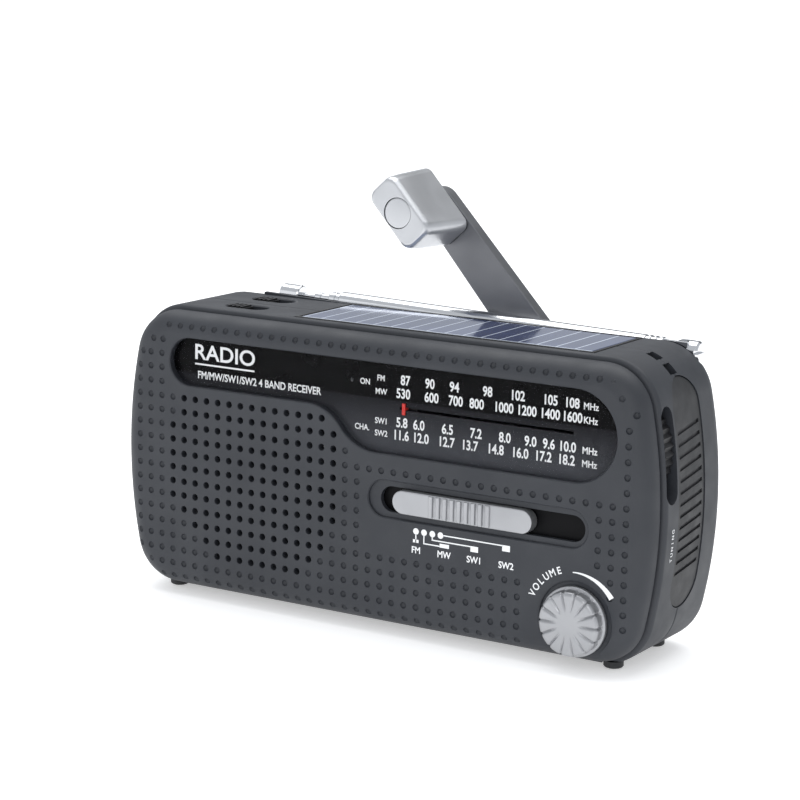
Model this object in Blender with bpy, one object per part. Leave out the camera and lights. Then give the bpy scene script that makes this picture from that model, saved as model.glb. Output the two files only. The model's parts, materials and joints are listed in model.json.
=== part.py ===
"""Hand-cranked, solar-charged emergency radio with four wave bands.

The radio stands on four rubber feet at z = 0.  +X is its right end, -Y its front and +Z its top.
Lengths below are in millimetres; metres() turns them into Blender's metres.
"""
import math

import bmesh
import bpy
from mathutils import Matrix, Vector

# ---------------------------------------------------------------- driving dimensions, millimetres
DEPTH_SHIFT = -0.9        # puts the middle of the whole depth, knob to crank, on y = 0
GAP = 0.3                 # clearance between neighbouring pieces

HALF_WIDTH = 82.5         # cabinet, at the middle of its bulging ends
TOP = 80.0
BOTTOM = 0.9
END_RADIUS = 132.0        # the ends bulge on this radius
CORNER_RADIUS = 14.5
FRONT, BACK = -21.0, 21.0
WALL = 3.6
FACE_INSET = 6.9          # flat front face, inside its rounded rim
RIM_RADIUS = 5.6
BACK_RADIUS = 6.0
SEAM = 0.15               # half the gap between the two covers, at y = 0

COLUMN_PITCH, ROW_PITCH = 3.75, 3.894      # speaker hole lattice
HOLE_RADIUS = 0.85
LATTICE_X, LATTICE_Z = -60.14, 24.375      # one hole of the lattice
HOLE_ROWS = ((3, 10), (2, 11), (1, 12), (0, 12)) + ((-1, 13),) * 6 + ((0, 13), (0, 12))
LOWEST_ROW = -3                            # HOLE_ROWS: first and last column of each row, going up
SPEAKER_X, SPEAKER_Z = -36.0, 33.6         # middle of the speaker behind the holes

WINDOW_TOP, WINDOW_STEP, WINDOW_BOTTOM = 71.95, 59.4, 48.75
WINDOW_LEFT, WINDOW_RIGHT, WINDOW_BEND = -64.8, 71.3, -20.0

DIAL_Z = 60.5
DIAL_START, DIAL_TRAVEL = 8.9, 48.0        # pointer at the low end, and its travel
TUNING_X, TUNING_Z, TUNING_RADIUS = 65.2, 56.2, 16.0
TUNING_TURN = math.radians(275)

SLIDE_X, SLIDE_Z = 33.3, 36.55             # band selector slot
SLIDE_LENGTH, SLIDE_HEIGHT = 60.2, 6.9
CAP_X, CAP_LENGTH, CAP_HEIGHT = 28.3, 41.4, 6.3

VOLUME_X, VOLUME_Z = 61.5, 13.0
VOLUME_RADIUS = 9.1

PANEL_LEFT, PANEL_RIGHT, PANEL_FRONT, PANEL_REAR = -30.0, 60.0, -12.2, 15.3

CRANK_X, CRANK_Z = 54.5, 40.3
CRANK_ANGLE = math.radians(48)             # of the arm, above the level
CRANK_LENGTH = 91.5                        # pivot to knob
ARM_Y0, ARM_Y1 = 21.8, 26.8
KNOB_Y = 1.4                               # free end of the knob
HINGE_Y = (ARM_Y0 + ARM_Y1) / 2

ROD_X, ROD_Y, ROD_Z = 69.0, 18.9, 77.6     # antenna hinge
ROD_SLOPE = math.radians(1.3)

POCKET_X = CRANK_X - CRANK_LENGTH          # where the knob goes when the arm is put away
POCKET_Y = -2.4                            # depth of that pocket

STRAP_SLOTS = (67.0, 45.5)                 # angles up from level at the corner
FOOT_X, FOOT_Y, FOOT_RADIUS = 68.3, 11.8, 2.6
SCREWS = ((-72.5, 12.0), (72.5, 12.0), (-70.0, 69.0), (-14.0, 10.0))
FLAP_Y, FLAP_Z = 0.6, 44.5                 # middle of the rubber flap on the right end
FLAP_LENGTH, FLAP_WIDTH, FLAP_THICK = 59.0, 14.6, 1.6
WHEEL_Y0, WHEEL_Y1 = -13.1, -8.3
SWITCHES = (("power_switch", -49.5, -6.4), ("light_switch", -50.5, 7.6))
SWITCH_LENGTH, SWITCH_WIDTH, SWITCH_TRAVEL = 13.0, 6.2, 4.5
TORCH_Z = 45.0
JACKS = (("earphone_jack", 24.0), ("usb_socket", 33.5), ("dc_jack", 43.0))
DOOR_LOW, DOOR_HIGH = (-68.0, 7.4), (-20.0, 29.6)
DOOR_THICK = 1.8

LENS_Y0, LENS_Y1 = -20.6, -19.4
DIAL_Y0, DIAL_Y1 = -18.45, -17.5
TRAY_Y = -18.4
RAIL_Y = -16.3                             # rail the dial pointer slides on
LED_X, LED_Z = -7.5, 66.4
BAND_TRAVEL = 7.4
LOBES = 14                                 # round the volume knob
KNURLS = 44                                # round the tuning wheel

PLATE_Y0, PLATE_Y1 = 9.6, 10.8             # plate that carries the gear train
GEAR_POSTS = ((62.0, 19.0), (14.0, 51.0), (14.0, 16.5))
STAGE_ONE = (0.8, 38, 10)                  # module, teeth on the drive gear, teeth on the pinion
STAGE_TWO = (0.75, 30, 8)
MESH_ONE, MESH_TWO = math.radians(206), math.radians(188)   # directions of the two meshes

ROD_END = 124.0                            # tip of the folded antenna, from its hinge
TUBE_ONE, TUBE_TWO, TUBE_THREE = 2.55, 1.9, 1.3             # radii of its sections
TUBE_WALL = 0.3
SECTION_TRAVEL = 80.0                      # how far each section pulls out of the one before

MIDDLE_Z = (TOP + BOTTOM) / 2
HALF_HEIGHT = (TOP - BOTTOM) / 2
END_X = HALF_WIDTH - END_RADIUS
CORNER_Z = HALF_HEIGHT - CORNER_RADIUS
CORNER_X = END_X + math.sqrt((END_RADIUS - CORNER_RADIUS) ** 2 - CORNER_Z ** 2)
CORNER_START = math.atan2(CORNER_Z, CORNER_X - END_X)


# ---------------------------------------------------------------- shape tools
def metres(point):
    """A point in millimetres, in Blender's metres and centred in depth."""
    x, y, z = point
    return Vector((x, y + DEPTH_SHIFT, z)) * 0.001


def mesh_of(vertices, faces):
    """A mesh from points in millimetres, its faces pointing out."""
    bm = bmesh.new()
    made = [bm.verts.new(metres(v)) for v in vertices]
    for face in faces:
        bm.faces.new([made[i] for i in face])
    bmesh.ops.recalc_face_normals(bm, faces=bm.faces)
    mesh = bpy.data.meshes.new("shape")
    bm.to_mesh(mesh)
    bm.free()
    return mesh


def joined(meshes):
    """Several separate meshes as one."""
    bm = bmesh.new()
    for mesh in meshes:
        bm.from_mesh(mesh)
    out = bpy.data.meshes.new("shape")
    bm.to_mesh(out)
    bm.free()
    return out


def loft(rings):
    """A solid through equal rings of points, with flat ends."""
    count = len(rings[0])
    faces = [list(range(count)), list(range((len(rings) - 1) * count, len(rings) * count))]
    for r in range(len(rings) - 1):
        for i in range(count):
            j = (i + 1) % count
            a, b = r * count, (r + 1) * count
            faces.append([a + i, a + j, b + j, b + i])
    return mesh_of([p for ring in rings for p in ring], faces)


def lift(points, axis, level):
    """A flat outline set at a level along an axis."""
    order = {"X": lambda u, v: (level, u, v), "Y": lambda u, v: (u, level, v),
             "Z": lambda u, v: (u, v, level)}[axis]
    return [order(u, v) for u, v in points]


def prism(points, axis, start, end):
    return loft([lift(points, axis, start), lift(points, axis, end)])


def block(low, high):
    (x0, y0, z0), (x1, y1, z1) = low, high
    return prism([(x0, y0), (x1, y0), (x1, y1), (x0, y1)], "Z", z0, z1)


def arc(centre, radius, start, end, steps):
    """Points on an arc, its angles in radians."""
    turn = [start + (end - start) * i / steps for i in range(steps + 1)]
    return [(centre[0] + radius * math.cos(a), centre[1] + radius * math.sin(a)) for a in turn]


def stadium(centre, length, height, steps=6):
    """A level slot outline with round ends."""
    radius, reach = height / 2, (length - height) / 2
    return (arc((centre[0] + reach, centre[1]), radius, -math.pi / 2, math.pi / 2, steps)
            + arc((centre[0] - reach, centre[1]), radius, math.pi / 2, 3 * math.pi / 2, steps))


def upright(points, centre):
    """The same outline turned by a quarter about its centre."""
    return [(centre[0] - (v - centre[1]), centre[1] + (u - centre[0])) for u, v in points]


def turned(profile, centre, direction=(0, 1, 0), sides=20, ring=False):
    """A turned solid: profile holds (distance along the axis, radius) pairs.

    It runs from a point on the axis to another, or round a closed section where ring is set.
    """
    along = Vector(direction).normalized()
    side = along.orthogonal().normalized()
    other = along.cross(side)
    vertices, loops = [], []
    for distance, radius in profile:
        base = Vector(centre) + along * distance
        if radius < 1e-6:
            loops.append([len(vertices)] * sides)
            vertices.append(base)
            continue
        loops.append([len(vertices) + i for i in range(sides)])
        for i in range(sides):
            a = 2 * math.pi * i / sides
            vertices.append(base + (side * math.cos(a) + other * math.sin(a)) * radius)
    pairs = list(zip(loops, loops[1:])) + ([(loops[-1], loops[0])] if ring else [])
    faces = []
    for one, two in pairs:
        for i in range(sides):
            j = (i + 1) % sides
            corner = [one[i], one[j], two[j], two[i]]
            faces.append([c for n, c in enumerate(corner) if c not in corner[:n]])
    return mesh_of([tuple(v) for v in vertices], faces)


def rod(centre, radius, length, direction=(0, 1, 0), sides=20):
    return turned([(0, 0), (0, radius), (length, radius), (length, 0)], centre, direction, sides)


def tube(centre, outer, inner, length, direction=(0, 1, 0), sides=20):
    section = [(0, inner), (0, outer), (length, outer), (length, inner)]
    return turned(section, centre, direction, sides, ring=True)


def rotated(mesh, pivot, axis, angle):
    """A mesh turned about an axis through a pivot."""
    at = metres(pivot)
    turn = Matrix.Translation(at) @ Matrix.Rotation(angle, 4, Vector(axis)) @ Matrix.Translation(-at)
    mesh.transform(turn)
    return mesh


# ---------------------------------------------------------------- objects and materials
def material(name, colour, roughness, metallic=0.0):
    made = bpy.data.materials.new(name)
    made.use_nodes = True
    shader = made.node_tree.nodes["Principled BSDF"]
    shader.inputs["Base Color"].default_value = (*colour, 1.0)
    shader.inputs["Roughness"].default_value = roughness
    shader.inputs["Metallic"].default_value = metallic
    return made


def add_object(name, mesh, origin):
    """Puts a mesh in the scene with its object's origin at a chosen point."""
    at = metres(origin)
    mesh.name = name
    mesh.transform(Matrix.Translation(-at))
    made = bpy.data.objects.new(name, mesh)
    made.location = at
    bpy.context.scene.collection.objects.link(made)
    return made


def piece(name, finish, base, add=(), cut=(), origin=(0, -DEPTH_SHIFT, 0)):
    """One solid piece: a base shape with others joined to it and others cut from it."""
    made = add_object(name, base, origin)
    made.data.materials.append(finish)
    for kind, tools in (("UNION", add), ("DIFFERENCE", cut)):
        for number, mesh in enumerate(tools):
            tool = add_object(f"{name}.{kind.lower()}.{number}", mesh, (0, -DEPTH_SHIFT, 0))
            tool.hide_render = True
            tool.display_type = "WIRE"
            change = made.modifiers.new(kind.title(), "BOOLEAN")
            change.operation = kind
            change.solver = "EXACT"
            change.object = tool
    made.data.shade_smooth()
    made.data.set_sharp_from_angle(angle=math.radians(35))
    return made


# ---------------------------------------------------------------- outlines
def cabinet_outline(inset, corner_steps=6, end_steps=6):
    """The cabinet seen from the front, drawn in by an inset: flat top, bulging ends."""
    r, big = CORNER_RADIUS - inset, END_RADIUS - inset
    right = arc((END_X, 0), big, -CORNER_START, CORNER_START, end_steps)
    upper = arc((CORNER_X, CORNER_Z), r, CORNER_START, math.pi / 2, corner_steps)[1:]
    lower = [(x, -z) for x, z in reversed(upper)]
    half = lower + right + upper
    other = [(-x, z) for x, z in reversed(half)]
    return [(x, z + MIDDLE_Z) for x, z in half + other]


def cabinet_ring(y, inset):
    return lift(cabinet_outline(inset), "Y", y)


def cabinet_band(y0, y1, outer, inner, window):
    """A skin of the cabinet between two insets, inside a window seen from the end."""
    skin = loft([cabinet_ring(y0, outer), cabinet_ring(y1, outer)])
    made = add_object("guide.skin", skin, (0, -DEPTH_SHIFT, 0))
    core = loft([cabinet_ring(y0 - 1, inner), cabinet_ring(y1 + 1, inner)])
    for kind, mesh in (("DIFFERENCE", core), ("INTERSECT", prism(window, "X", 60, 90))):
        tool = add_object("guide.tool", mesh, (0, -DEPTH_SHIFT, 0))
        change = made.modifiers.new(kind.title(), "BOOLEAN")
        change.operation = kind
        change.object = tool
        tool.hide_render = True
        tool.display_type = "WIRE"
    shaped = bpy.data.meshes.new_from_object(made.evaluated_get(bpy.context.evaluated_depsgraph_get()))
    bpy.data.objects.remove(made)
    shaped.materials.clear()
    return shaped


def window_outline(inset, steps=7):
    """The dial window: a low band on the left, widening through a double bend to the right."""
    left, right = (WINDOW_TOP - WINDOW_STEP) / 2, (WINDOW_TOP - WINDOW_BOTTOM) / 2
    fall, run = WINDOW_STEP - WINDOW_BOTTOM, 21.5
    bend = 2 * math.atan2(fall, run)
    radius = run / 2 / math.sin(bend)
    quarter = math.pi / 2
    left_end = arc((WINDOW_LEFT + left, WINDOW_TOP - left), left - inset, quarter, 3 * quarter, steps)
    inner_bend = arc((WINDOW_BEND, WINDOW_STEP - radius), radius + inset, quarter, quarter - bend, steps)
    outer_bend = arc((WINDOW_BEND + run, WINDOW_BOTTOM + radius), radius - inset,
                     -quarter - bend, -quarter, steps)
    right_end = arc((WINDOW_RIGHT - right, WINDOW_TOP - right), right - inset, -quarter, quarter, 2 * steps)
    return left_end + inner_bend + outer_bend[1:] + right_end


def gear_outline(centre, module, teeth, phase):
    """A spur gear seen along its axis, with thinned teeth for backlash."""
    pitch = module * teeth / 2
    root, tip = pitch - 1.25 * module, pitch + 0.85 * module
    points = []
    for n in range(teeth):
        middle = phase + 2 * math.pi * n / teeth
        wide, narrow = 0.62 * math.pi / teeth, 0.26 * math.pi / teeth
        for radius, offset in ((root, -wide), (tip, -narrow), (tip, narrow), (root, wide)):
            a = middle + offset
            points.append((centre[0] + radius * math.cos(a), centre[1] + radius * math.sin(a)))
    return points


def crank_frame(along, across):
    """A point of the crank's plane, given along and across its arm, as (x, z)."""
    c, s = math.cos(CRANK_ANGLE), math.sin(CRANK_ANGLE)
    return CRANK_X - along * c + across * s, CRANK_Z + along * s + across * c


def crank_shape(points, y0, y1):
    return prism([crank_frame(a, b) for a, b in points], "Y", y0, y1)


# ---------------------------------------------------------------- the cabinet
def speaker_lattice():
    """Centres of the open speaker holes: a square of lattice points with its corners left out."""
    found = []
    for row, (first, last) in enumerate(HOLE_ROWS, LOWEST_ROW):
        for column in range(first, last + 1):
            found.append((LATTICE_X + column * COLUMN_PITCH, LATTICE_Z + row * ROW_PITCH))
    return found


def strap_slot(angle_deg):
    """A small square hole through the rounded upper right corner, across the seam."""
    middle = (CORNER_X, 0, CORNER_Z + MIDDLE_Z)
    hole = block((CORNER_X + 8, -2.2, middle[2] - 1.7), (CORNER_X + 17, 1.5, middle[2] + 1.7))
    return rotated(hole, middle, (0, 1, 0), -math.radians(angle_deg))


def end_slot(centre_y, centre_z, length, width, grow=0.0):
    """An upright stadium seen from the right end, as (y, z) points."""
    centre = (centre_y, centre_z)
    return upright(stadium(centre, length + 2 * grow, width + 2 * grow), centre)


def flap_recess():
    slot = end_slot(FLAP_Y, FLAP_Z, FLAP_LENGTH, FLAP_WIDTH, GAP)
    return cabinet_band(-12, 12, -1.5, FLAP_THICK + 0.4, slot)


def switch_cuts(x, y):
    recess = stadium((x, y), SWITCH_LENGTH, SWITCH_WIDTH)
    return [prism(recess, "Z", 78.3, 82), block((x - 5, y - 1.1, 74), (x + 3.4, y + 1.1, 79))]


def torch_bore():
    return rod((-84, 0, TORCH_Z), 9.3, 9, (1, 0, 0), 28)


def panel_bed():
    return block((PANEL_LEFT - GAP, PANEL_FRONT - GAP, 78.2), (PANEL_RIGHT + GAP, PANEL_REAR + GAP, 82))


def end_holes():
    """Strap holes, and an opening in the floor of the flap's recess for each socket behind it."""
    earphone = rod((70, FLAP_Y, JACKS[0][1]), 2.9, 14, (1, 0, 0))
    usb = block((70, FLAP_Y - 2.2, JACKS[1][1] - 4.2), (84, FLAP_Y + 2.2, JACKS[1][1] + 4.2))
    power = rod((70, FLAP_Y, JACKS[2][1]), 3.2, 14, (1, 0, 0))
    return [earphone, usb, power] + [strap_slot(a) for a in STRAP_SLOTS]


def foot_wells(side_y):
    return [rod((s * FOOT_X, side_y, -1), FOOT_RADIUS + GAP, 3.2, (0, 0, 1)) for s in (-1, 1)]


def end_recesses():
    """Recesses that lie across the seam, so both covers have a part of each."""
    return [torch_bore(), panel_bed(), flap_recess()]


def front_cover(finish):
    rim = [(-15.4 - RIM_RADIUS * math.cos(a), FACE_INSET - (FACE_INSET - 1.25) * math.sin(a))
           for a in (math.radians(22.5 * n) for n in range(5))]
    outer = rim + [(-15.0, 1.25), (-14.9, 2.1), (-14.2, 2.1), (-13.9, 0.6), (-13.4, 0.15),
                   (-12.8, 0.0), (-SEAM, 0.0)]
    inner = [(-SEAM, WALL), (-16.2, WALL), (-18.8, FACE_INSET - 0.5)]
    shell = loft([cabinet_ring(y, inset) for y, inset in outer + inner])
    posts = [rod((x, -19.5, z), 3.2, 19.0) for x, z in SCREWS]
    recesses = [rod((x, -22, z), HOLE_RADIUS, 5, sides=5) for x, z in speaker_lattice()]
    recesses += [
        prism(window_outline(-GAP), "Y", -23, -17),
        prism(stadium((SLIDE_X - 1.3, SLIDE_Z), 64.7, 9.9), "Y", -23, -20.2),
        rod((VOLUME_X, -23, VOLUME_Z), VOLUME_RADIUS + 1.1, 2.7, sides=32),
        prism(end_slot((WHEEL_Y0 + WHEEL_Y1) / 2, TUNING_Z, 24.6, 5.7), "X", 71, 90),
    ]
    recesses += foot_wells(-FOOT_Y) + end_recesses()
    recess, slot = switch_cuts(*SWITCHES[0][1:])
    through = [prism(stadium((SLIDE_X, SLIDE_Z), SLIDE_LENGTH, SLIDE_HEIGHT), "Y", -23, -17),
               rod((VOLUME_X, -23, VOLUME_Z), 4.0, 6), slot] + end_holes()
    through += [rod((x, -16, z), 1.0, 18, sides=12) for x, z in SCREWS]
    through.append(rod((TUNING_X, WHEEL_Y0 - 0.4, TUNING_Z), TUNING_RADIUS + 0.4, 5.6, sides=40))
    return piece("front_cover", finish, shell, [joined(posts)], [joined(recesses + [recess]), joined(through)])


def rod_point(distance, up=0.0):
    """A point on the antenna's axis, a distance from its hinge towards the tip."""
    c, s = math.cos(ROD_SLOPE), math.sin(ROD_SLOPE)
    return ROD_X - distance * c + up * s, ROD_Y, ROD_Z + distance * s + up * c


def sloped_block(start, end, y0, y1, low, high):
    """A block along the antenna, measured from the antenna's axis."""
    corners = [rod_point(start, low), rod_point(end, low), rod_point(end, high), rod_point(start, high)]
    return prism([(x, z) for x, _, z in corners], "Y", y0, y1)


def rear_cover(finish):
    curve = [(15.0 + BACK_RADIUS * math.cos(a), BACK_RADIUS * (1 - math.sin(a)))
             for a in (math.radians(22.5 * n) for n in range(5))]
    outer = curve + [(SEAM, 0.0)]
    inner = [(SEAM, WALL), (15.6, WALL), (18.4, 6.5)]
    shell = loft([cabinet_ring(y, inset) for y, inset in outer + inner])
    trough = sloped_block(-8.0, ROD_END + 3.5, 14.6, 20.3, -4.6, 0.2)
    well = block((POCKET_X - 13.2, POCKET_Y - 1.3, CRANK_Z - 8.7),
                 (POCKET_X + 13.2, 19.5, CRANK_Z + 8.7))
    posts = [rod((x, 0.5, z), 3.9, 18.5) for x, z in SCREWS]
    posts += [rod((x, PLATE_Y1 + 0.2, z), 2.4, 8) for x, z in GEAR_POSTS]
    recesses = [
        sloped_block(-9.0, ROD_END + 34, 16.0, 24, -2.9, 9),
        block((POCKET_X - 11.7, POCKET_Y, CRANK_Z - 7.2), (POCKET_X + 11.7, 23, CRANK_Z + 7.2)),
        rod((CRANK_X, 12, CRANK_Z), 10.4, 12, sides=32),
        block((DOOR_LOW[0] - GAP, 15, DOOR_LOW[1] - GAP), (DOOR_HIGH[0] + GAP, 23, DOOR_HIGH[1] + GAP)),
    ]
    recesses += [rod((x, 16.6, z), 3.1, 6) for x, z in SCREWS] + foot_wells(FOOT_Y) + end_recesses()
    recess, slot = switch_cuts(*SWITCHES[1][1:])
    through = [rod((x, -1, z), 1.6, 19) for x, z in SCREWS] + end_holes()
    through += [slot, block((ROD_X + 2.0, ROD_Y - 2.7, 68.4), (ROD_X + 5.9, ROD_Y + 1.8, 76))]
    added = [joined([trough, well] + posts)]
    return piece("rear_cover", finish, shell, added, [joined(recesses + [recess]), joined(through)])


def feet(finish):
    for name, x, y in (("foot_front_left", -1, -1), ("foot_front_right", 1, -1),
                       ("foot_rear_left", -1, 1), ("foot_rear_right", 1, 1)):
        profile = [(0, 0), (0, 2.1), (0.5, FOOT_RADIUS), (1.9, FOOT_RADIUS), (1.9, 0)]
        piece(name, finish, turned(profile, (x * FOOT_X, y * FOOT_Y, 0), (0, 0, 1)))


def case_screws(finish):
    for number, (x, z) in enumerate(SCREWS, 1):
        profile = [(-24, 0), (-24, 0.7), (2.0, 0.7), (2.0, 2.6), (3.2, 2.4), (3.8, 1.5), (3.8, 0)]
        screw = turned(profile, (x, 15, z), sides=16)
        bar = [block((x - 1.6, 18.0, z - 0.3), (x + 1.6, 19.4, z + 0.3)),
               block((x - 0.3, 18.0, z - 1.6), (x + 0.3, 19.4, z + 1.6))]
        piece(f"case_screw_{number}", finish, screw, cut=bar)


def battery_door(finish):
    x0, z0 = DOOR_LOW
    x1, z1 = DOOR_HIGH
    plate = block((x0, 19.2, z0), (x1, BACK, z1))
    ribs = [block((x0 + 5, 20.6, z1 - 3.0 - 1.6 * n), (x0 + 15, 22, z1 - 2.2 - 1.6 * n)) for n in range(4)]
    piece("battery_door", finish, plate, cut=ribs, origin=((x0 + x1) / 2, BACK, z0))


def battery_pack(finish):
    """Three cells in a triangle inside one shrink sleeve."""
    r, z, y = 5.2, 12.8, 11.8
    corners = [(y, z), (y, z + 2 * r), (y - r * math.sqrt(3), z + r)]
    outline = []
    for n, corner in enumerate(corners):
        outline += arc(corner, r, math.radians(120 * n - 120), math.radians(120 * n), 5)
    piece("battery_pack", finish, prism(outline, "X", -66.2, -21.8))


# ---------------------------------------------------------------- dial and controls
def dial_parts(clear, dark, red, steel):
    piece("dial_lens", clear, prism(window_outline(0.0), "Y", LENS_Y0, LENS_Y1))
    travel_slot = block((DIAL_START - 1.4, -19, DIAL_Z - 0.7),
                        (DIAL_START + DIAL_TRAVEL + 1.4, -17, DIAL_Z + 0.7))
    plate = prism(window_outline(-1.1), "Y", DIAL_Y0, DIAL_Y1)
    piece("dial_plate", dark, plate, cut=[travel_slot, rod((LED_X, -19, LED_Z), 1.1, 3, sides=12)])
    x = DIAL_START
    blade = block((x - 0.55, -19.1, DIAL_Z - 1.6), (x + 0.55, -18.75, DIAL_Z + 1.6))
    neck = block((x - 0.4, -18.9, DIAL_Z - 0.35), (x + 0.4, -17.0, DIAL_Z + 0.35))
    carriage = block((x - 3, -17.2, DIAL_Z - 1.6), (x + 3, -15.3, DIAL_Z + 1.6))
    bore = rod((x - 4, RAIL_Y, DIAL_Z), 0.8, 8, (1, 0, 0), 12)
    piece("dial_pointer", red, blade, [neck, carriage], [bore], (x, RAIL_Y, DIAL_Z))
    piece("pointer_rail", steel, rod((x - 5, RAIL_Y, DIAL_Z), 0.5, DIAL_TRAVEL + 10, (1, 0, 0), 10))
    lamp = [(0, 0), (0.5, 0.6), (1.0, 0.75), (2.0, 0.75), (2.0, 1.4), (4, 1.4), (4, 0)]
    piece("power_led", clear, turned(lamp, (LED_X, -18.9, LED_Z), sides=12))


def band_selector(silver, dark, board):
    low, high = SLIDE_Z - CAP_HEIGHT / 2, SLIDE_Z + CAP_HEIGHT / 2
    cap = prism(stadium((CAP_X, SLIDE_Z), CAP_LENGTH, CAP_HEIGHT), "Y", -21.9, -19.0)
    ribs = []
    for n in range(9):
        x = CAP_X - 8.9 + 2.1 * n
        profile = [(x - 0.75, -21.4), (x - 0.45, -22.6), (x + 0.45, -22.6), (x + 0.75, -21.4)]
        ribs.append(prism(profile, "Z", low + 0.1, high - 0.1))
    stem = block((CAP_X - 1.5, -19.5, SLIDE_Z - 0.9), (CAP_X + 1.5, -14.2, SLIDE_Z + 0.9))
    piece("band_slider", silver, cap, [joined(ribs), stem], origin=(CAP_X, -20, SLIDE_Z))
    right = CAP_X + BAND_TRAVEL
    slit = block((CAP_X - 1.9, -19, SLIDE_Z - 1.3), (right + 1.9, -17, SLIDE_Z + 1.3))
    piece("slider_tray", dark, block((1.0, TRAY_Y, 30.6), (66.5, TRAY_Y + 1.0, 42.6)), cut=[slit])
    groove = block((CAP_X - 2.2, -18, SLIDE_Z - 1.3), (right + 2.2, -13.6, SLIDE_Z + 1.3))
    pins = joined([block((10 + 4 * n, -10, z), (10.7 + 4 * n, -7.6, z + 0.7))
                   for n in range(12) for z in (34.2, 38.0)])
    piece("band_switch", board, block((8, -16.6, 32.8), (56, -9.4, 39.9)), [pins], [groove])


def volume_parts(silver, dark):
    lobed, small = [], []
    for n in range(LOBES * 4):
        a = math.pi / 2 * n / LOBES
        radius = 8.45 - (0.55 if n % 4 == 0 else 0.0)
        for outline, scale in ((lobed, 1.0), (small, 0.93)):
            outline.append((VOLUME_X + scale * radius * math.cos(a),
                            VOLUME_Z + scale * radius * math.sin(a)))
    head = loft([lift(lobed, "Y", -21.9), lift(lobed, "Y", -24.4), lift(small, "Y", -25.0)])
    skirt = rod((VOLUME_X, -22.0, VOLUME_Z), VOLUME_RADIUS, 1.4, sides=32)
    shaft = rod((VOLUME_X, -21.0, VOLUME_Z), 2.5, 8.0)
    piece("volume_knob", silver, head, [skirt, shaft], origin=(VOLUME_X, -21, VOLUME_Z))
    body = block((VOLUME_X - 7, -15.4, VOLUME_Z - 6.5), (VOLUME_X + 4.5, -7.6, VOLUME_Z + 7))
    collar = rod((VOLUME_X, -18.5, VOLUME_Z), 3.7, 4)
    piece("volume_control", dark, body, [collar], [rod((VOLUME_X, -19, VOLUME_Z), 2.85, 7)])


def tuning_parts(black, board):
    outline = []
    for n in range(KNURLS * 2):
        a = math.pi * n / KNURLS
        radius = TUNING_RADIUS - (0.7 if n % 2 else 0.0)
        outline.append((TUNING_X + radius * math.cos(a), TUNING_Z + radius * math.sin(a)))
    wheel = prism(outline, "Y", WHEEL_Y0, WHEEL_Y1)
    shaft = rod((TUNING_X, -9, TUNING_Z), 2.6, 6.5)
    dish = rod((TUNING_X, -14, TUNING_Z), 12.5, 1.9, sides=28)
    piece("tuning_wheel", black, wheel, [shaft], [dish], (TUNING_X, -10, TUNING_Z))
    body = block((TUNING_X - 10, -5.0, TUNING_Z - 10), (TUNING_X + 9.6, 4.6, TUNING_Z + 9.6))
    piece("tuning_capacitor", board, body, cut=[rod((TUNING_X, -6, TUNING_Z), 2.95, 4)])


def top_switches(black, board):
    wells = []
    for name, x, y in SWITCHES:
        knob = block((x - 5.0, y - 2.3, 78.6), (x + 0.4, y + 2.3, 80.3))
        ridges = [block((x - 4.4 + 1.4 * n, y - 2.6, 79.8), (x - 3.8 + 1.4 * n, y + 2.6, 80.7))
                  for n in range(4)]
        stem = block((x - 3.6, y - 0.7, 75.2), (x - 1.4, y + 0.7, 79))
        piece(name + "_knob", black, knob, [stem], ridges, (x - 2.5, y, 79))
        wells.append(block((x - 4.4, y - 1.1, 74.6), (x + 3.6, y + 1.1, 77)))
    (_, x, front), (_, _, rear) = SWITCHES
    base = block((x - 8, front - 3, 71.2), (x + 7, rear + 3, 72.6))
    bodies = [block((x - 7, y - 2.8, 72.4), (x + 5, y + 2.8, 76.0)) for _, _, y in SWITCHES]
    piece("switch_board", board, base, bodies, wells)


# ---------------------------------------------------------------- sound, power and electronics
def speaker(steel, black, paper):
    centre = (SPEAKER_X, 0, SPEAKER_Z)
    basket = [(-18.5, 21.8), (-18.5, 24.4), (-17.3, 24.4), (-17.3, 23.6), (-10.4, 14.0), (-10.4, 9.0),
              (-11.4, 9.0), (-11.4, 13.0), (-17.0, 21.8)]
    piece("speaker_frame", steel, turned(basket, centre, sides=32, ring=True))
    magnet = [(-10.1, 0), (-10.1, 12.4), (-9.5, 13), (-5.4, 13), (-4.8, 12.4), (-4.8, 0)]
    piece("speaker_magnet", black, turned(magnet, centre, sides=32))
    front = [(-14.4, 0), (-13.9, 4.6), (-12.6, 7.0), (-17.6, 19.4), (-17.9, 20.4), (-17.6, 21.4)]
    rear = [(-17.2, 21.4), (-17.3, 20.4), (-17.1, 19.8), (-11.9, 7.4), (-13.3, 4.6), (-13.9, 0)]
    piece("speaker_cone", paper, turned(front + rear, centre, sides=28))


def main_board(green):
    outline = [(-8, 5.6), (66, 5.6), (66, 20), (75, 20), (75, 66), (47, 66), (47, 46), (-8, 46)]
    chips = [block((-4, -5.9, 12), (6, -4.2, 26)), block((30, -5.9, 8), (44, -4.2, 13)),
             rod((2, -6, 36), 3.2, 6.0), rod((50, -6, 11), 2.6, 7.5)]
    hole = rod((TUNING_X, -8, TUNING_Z), 3.4, 3)
    piece("main_board", green, prism(outline, "Y", -7.2, -5.7), chips, [hole])


def aerial_coil(black, copper):
    piece("ferrite_rod", black, rod((-56, 8, 61.5), 4.0, 60, (1, 0, 0), 16))
    piece("antenna_coil", copper, tube((-50, 8, 61.5), 5.4, 4.3, 18, (1, 0, 0)))


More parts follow.
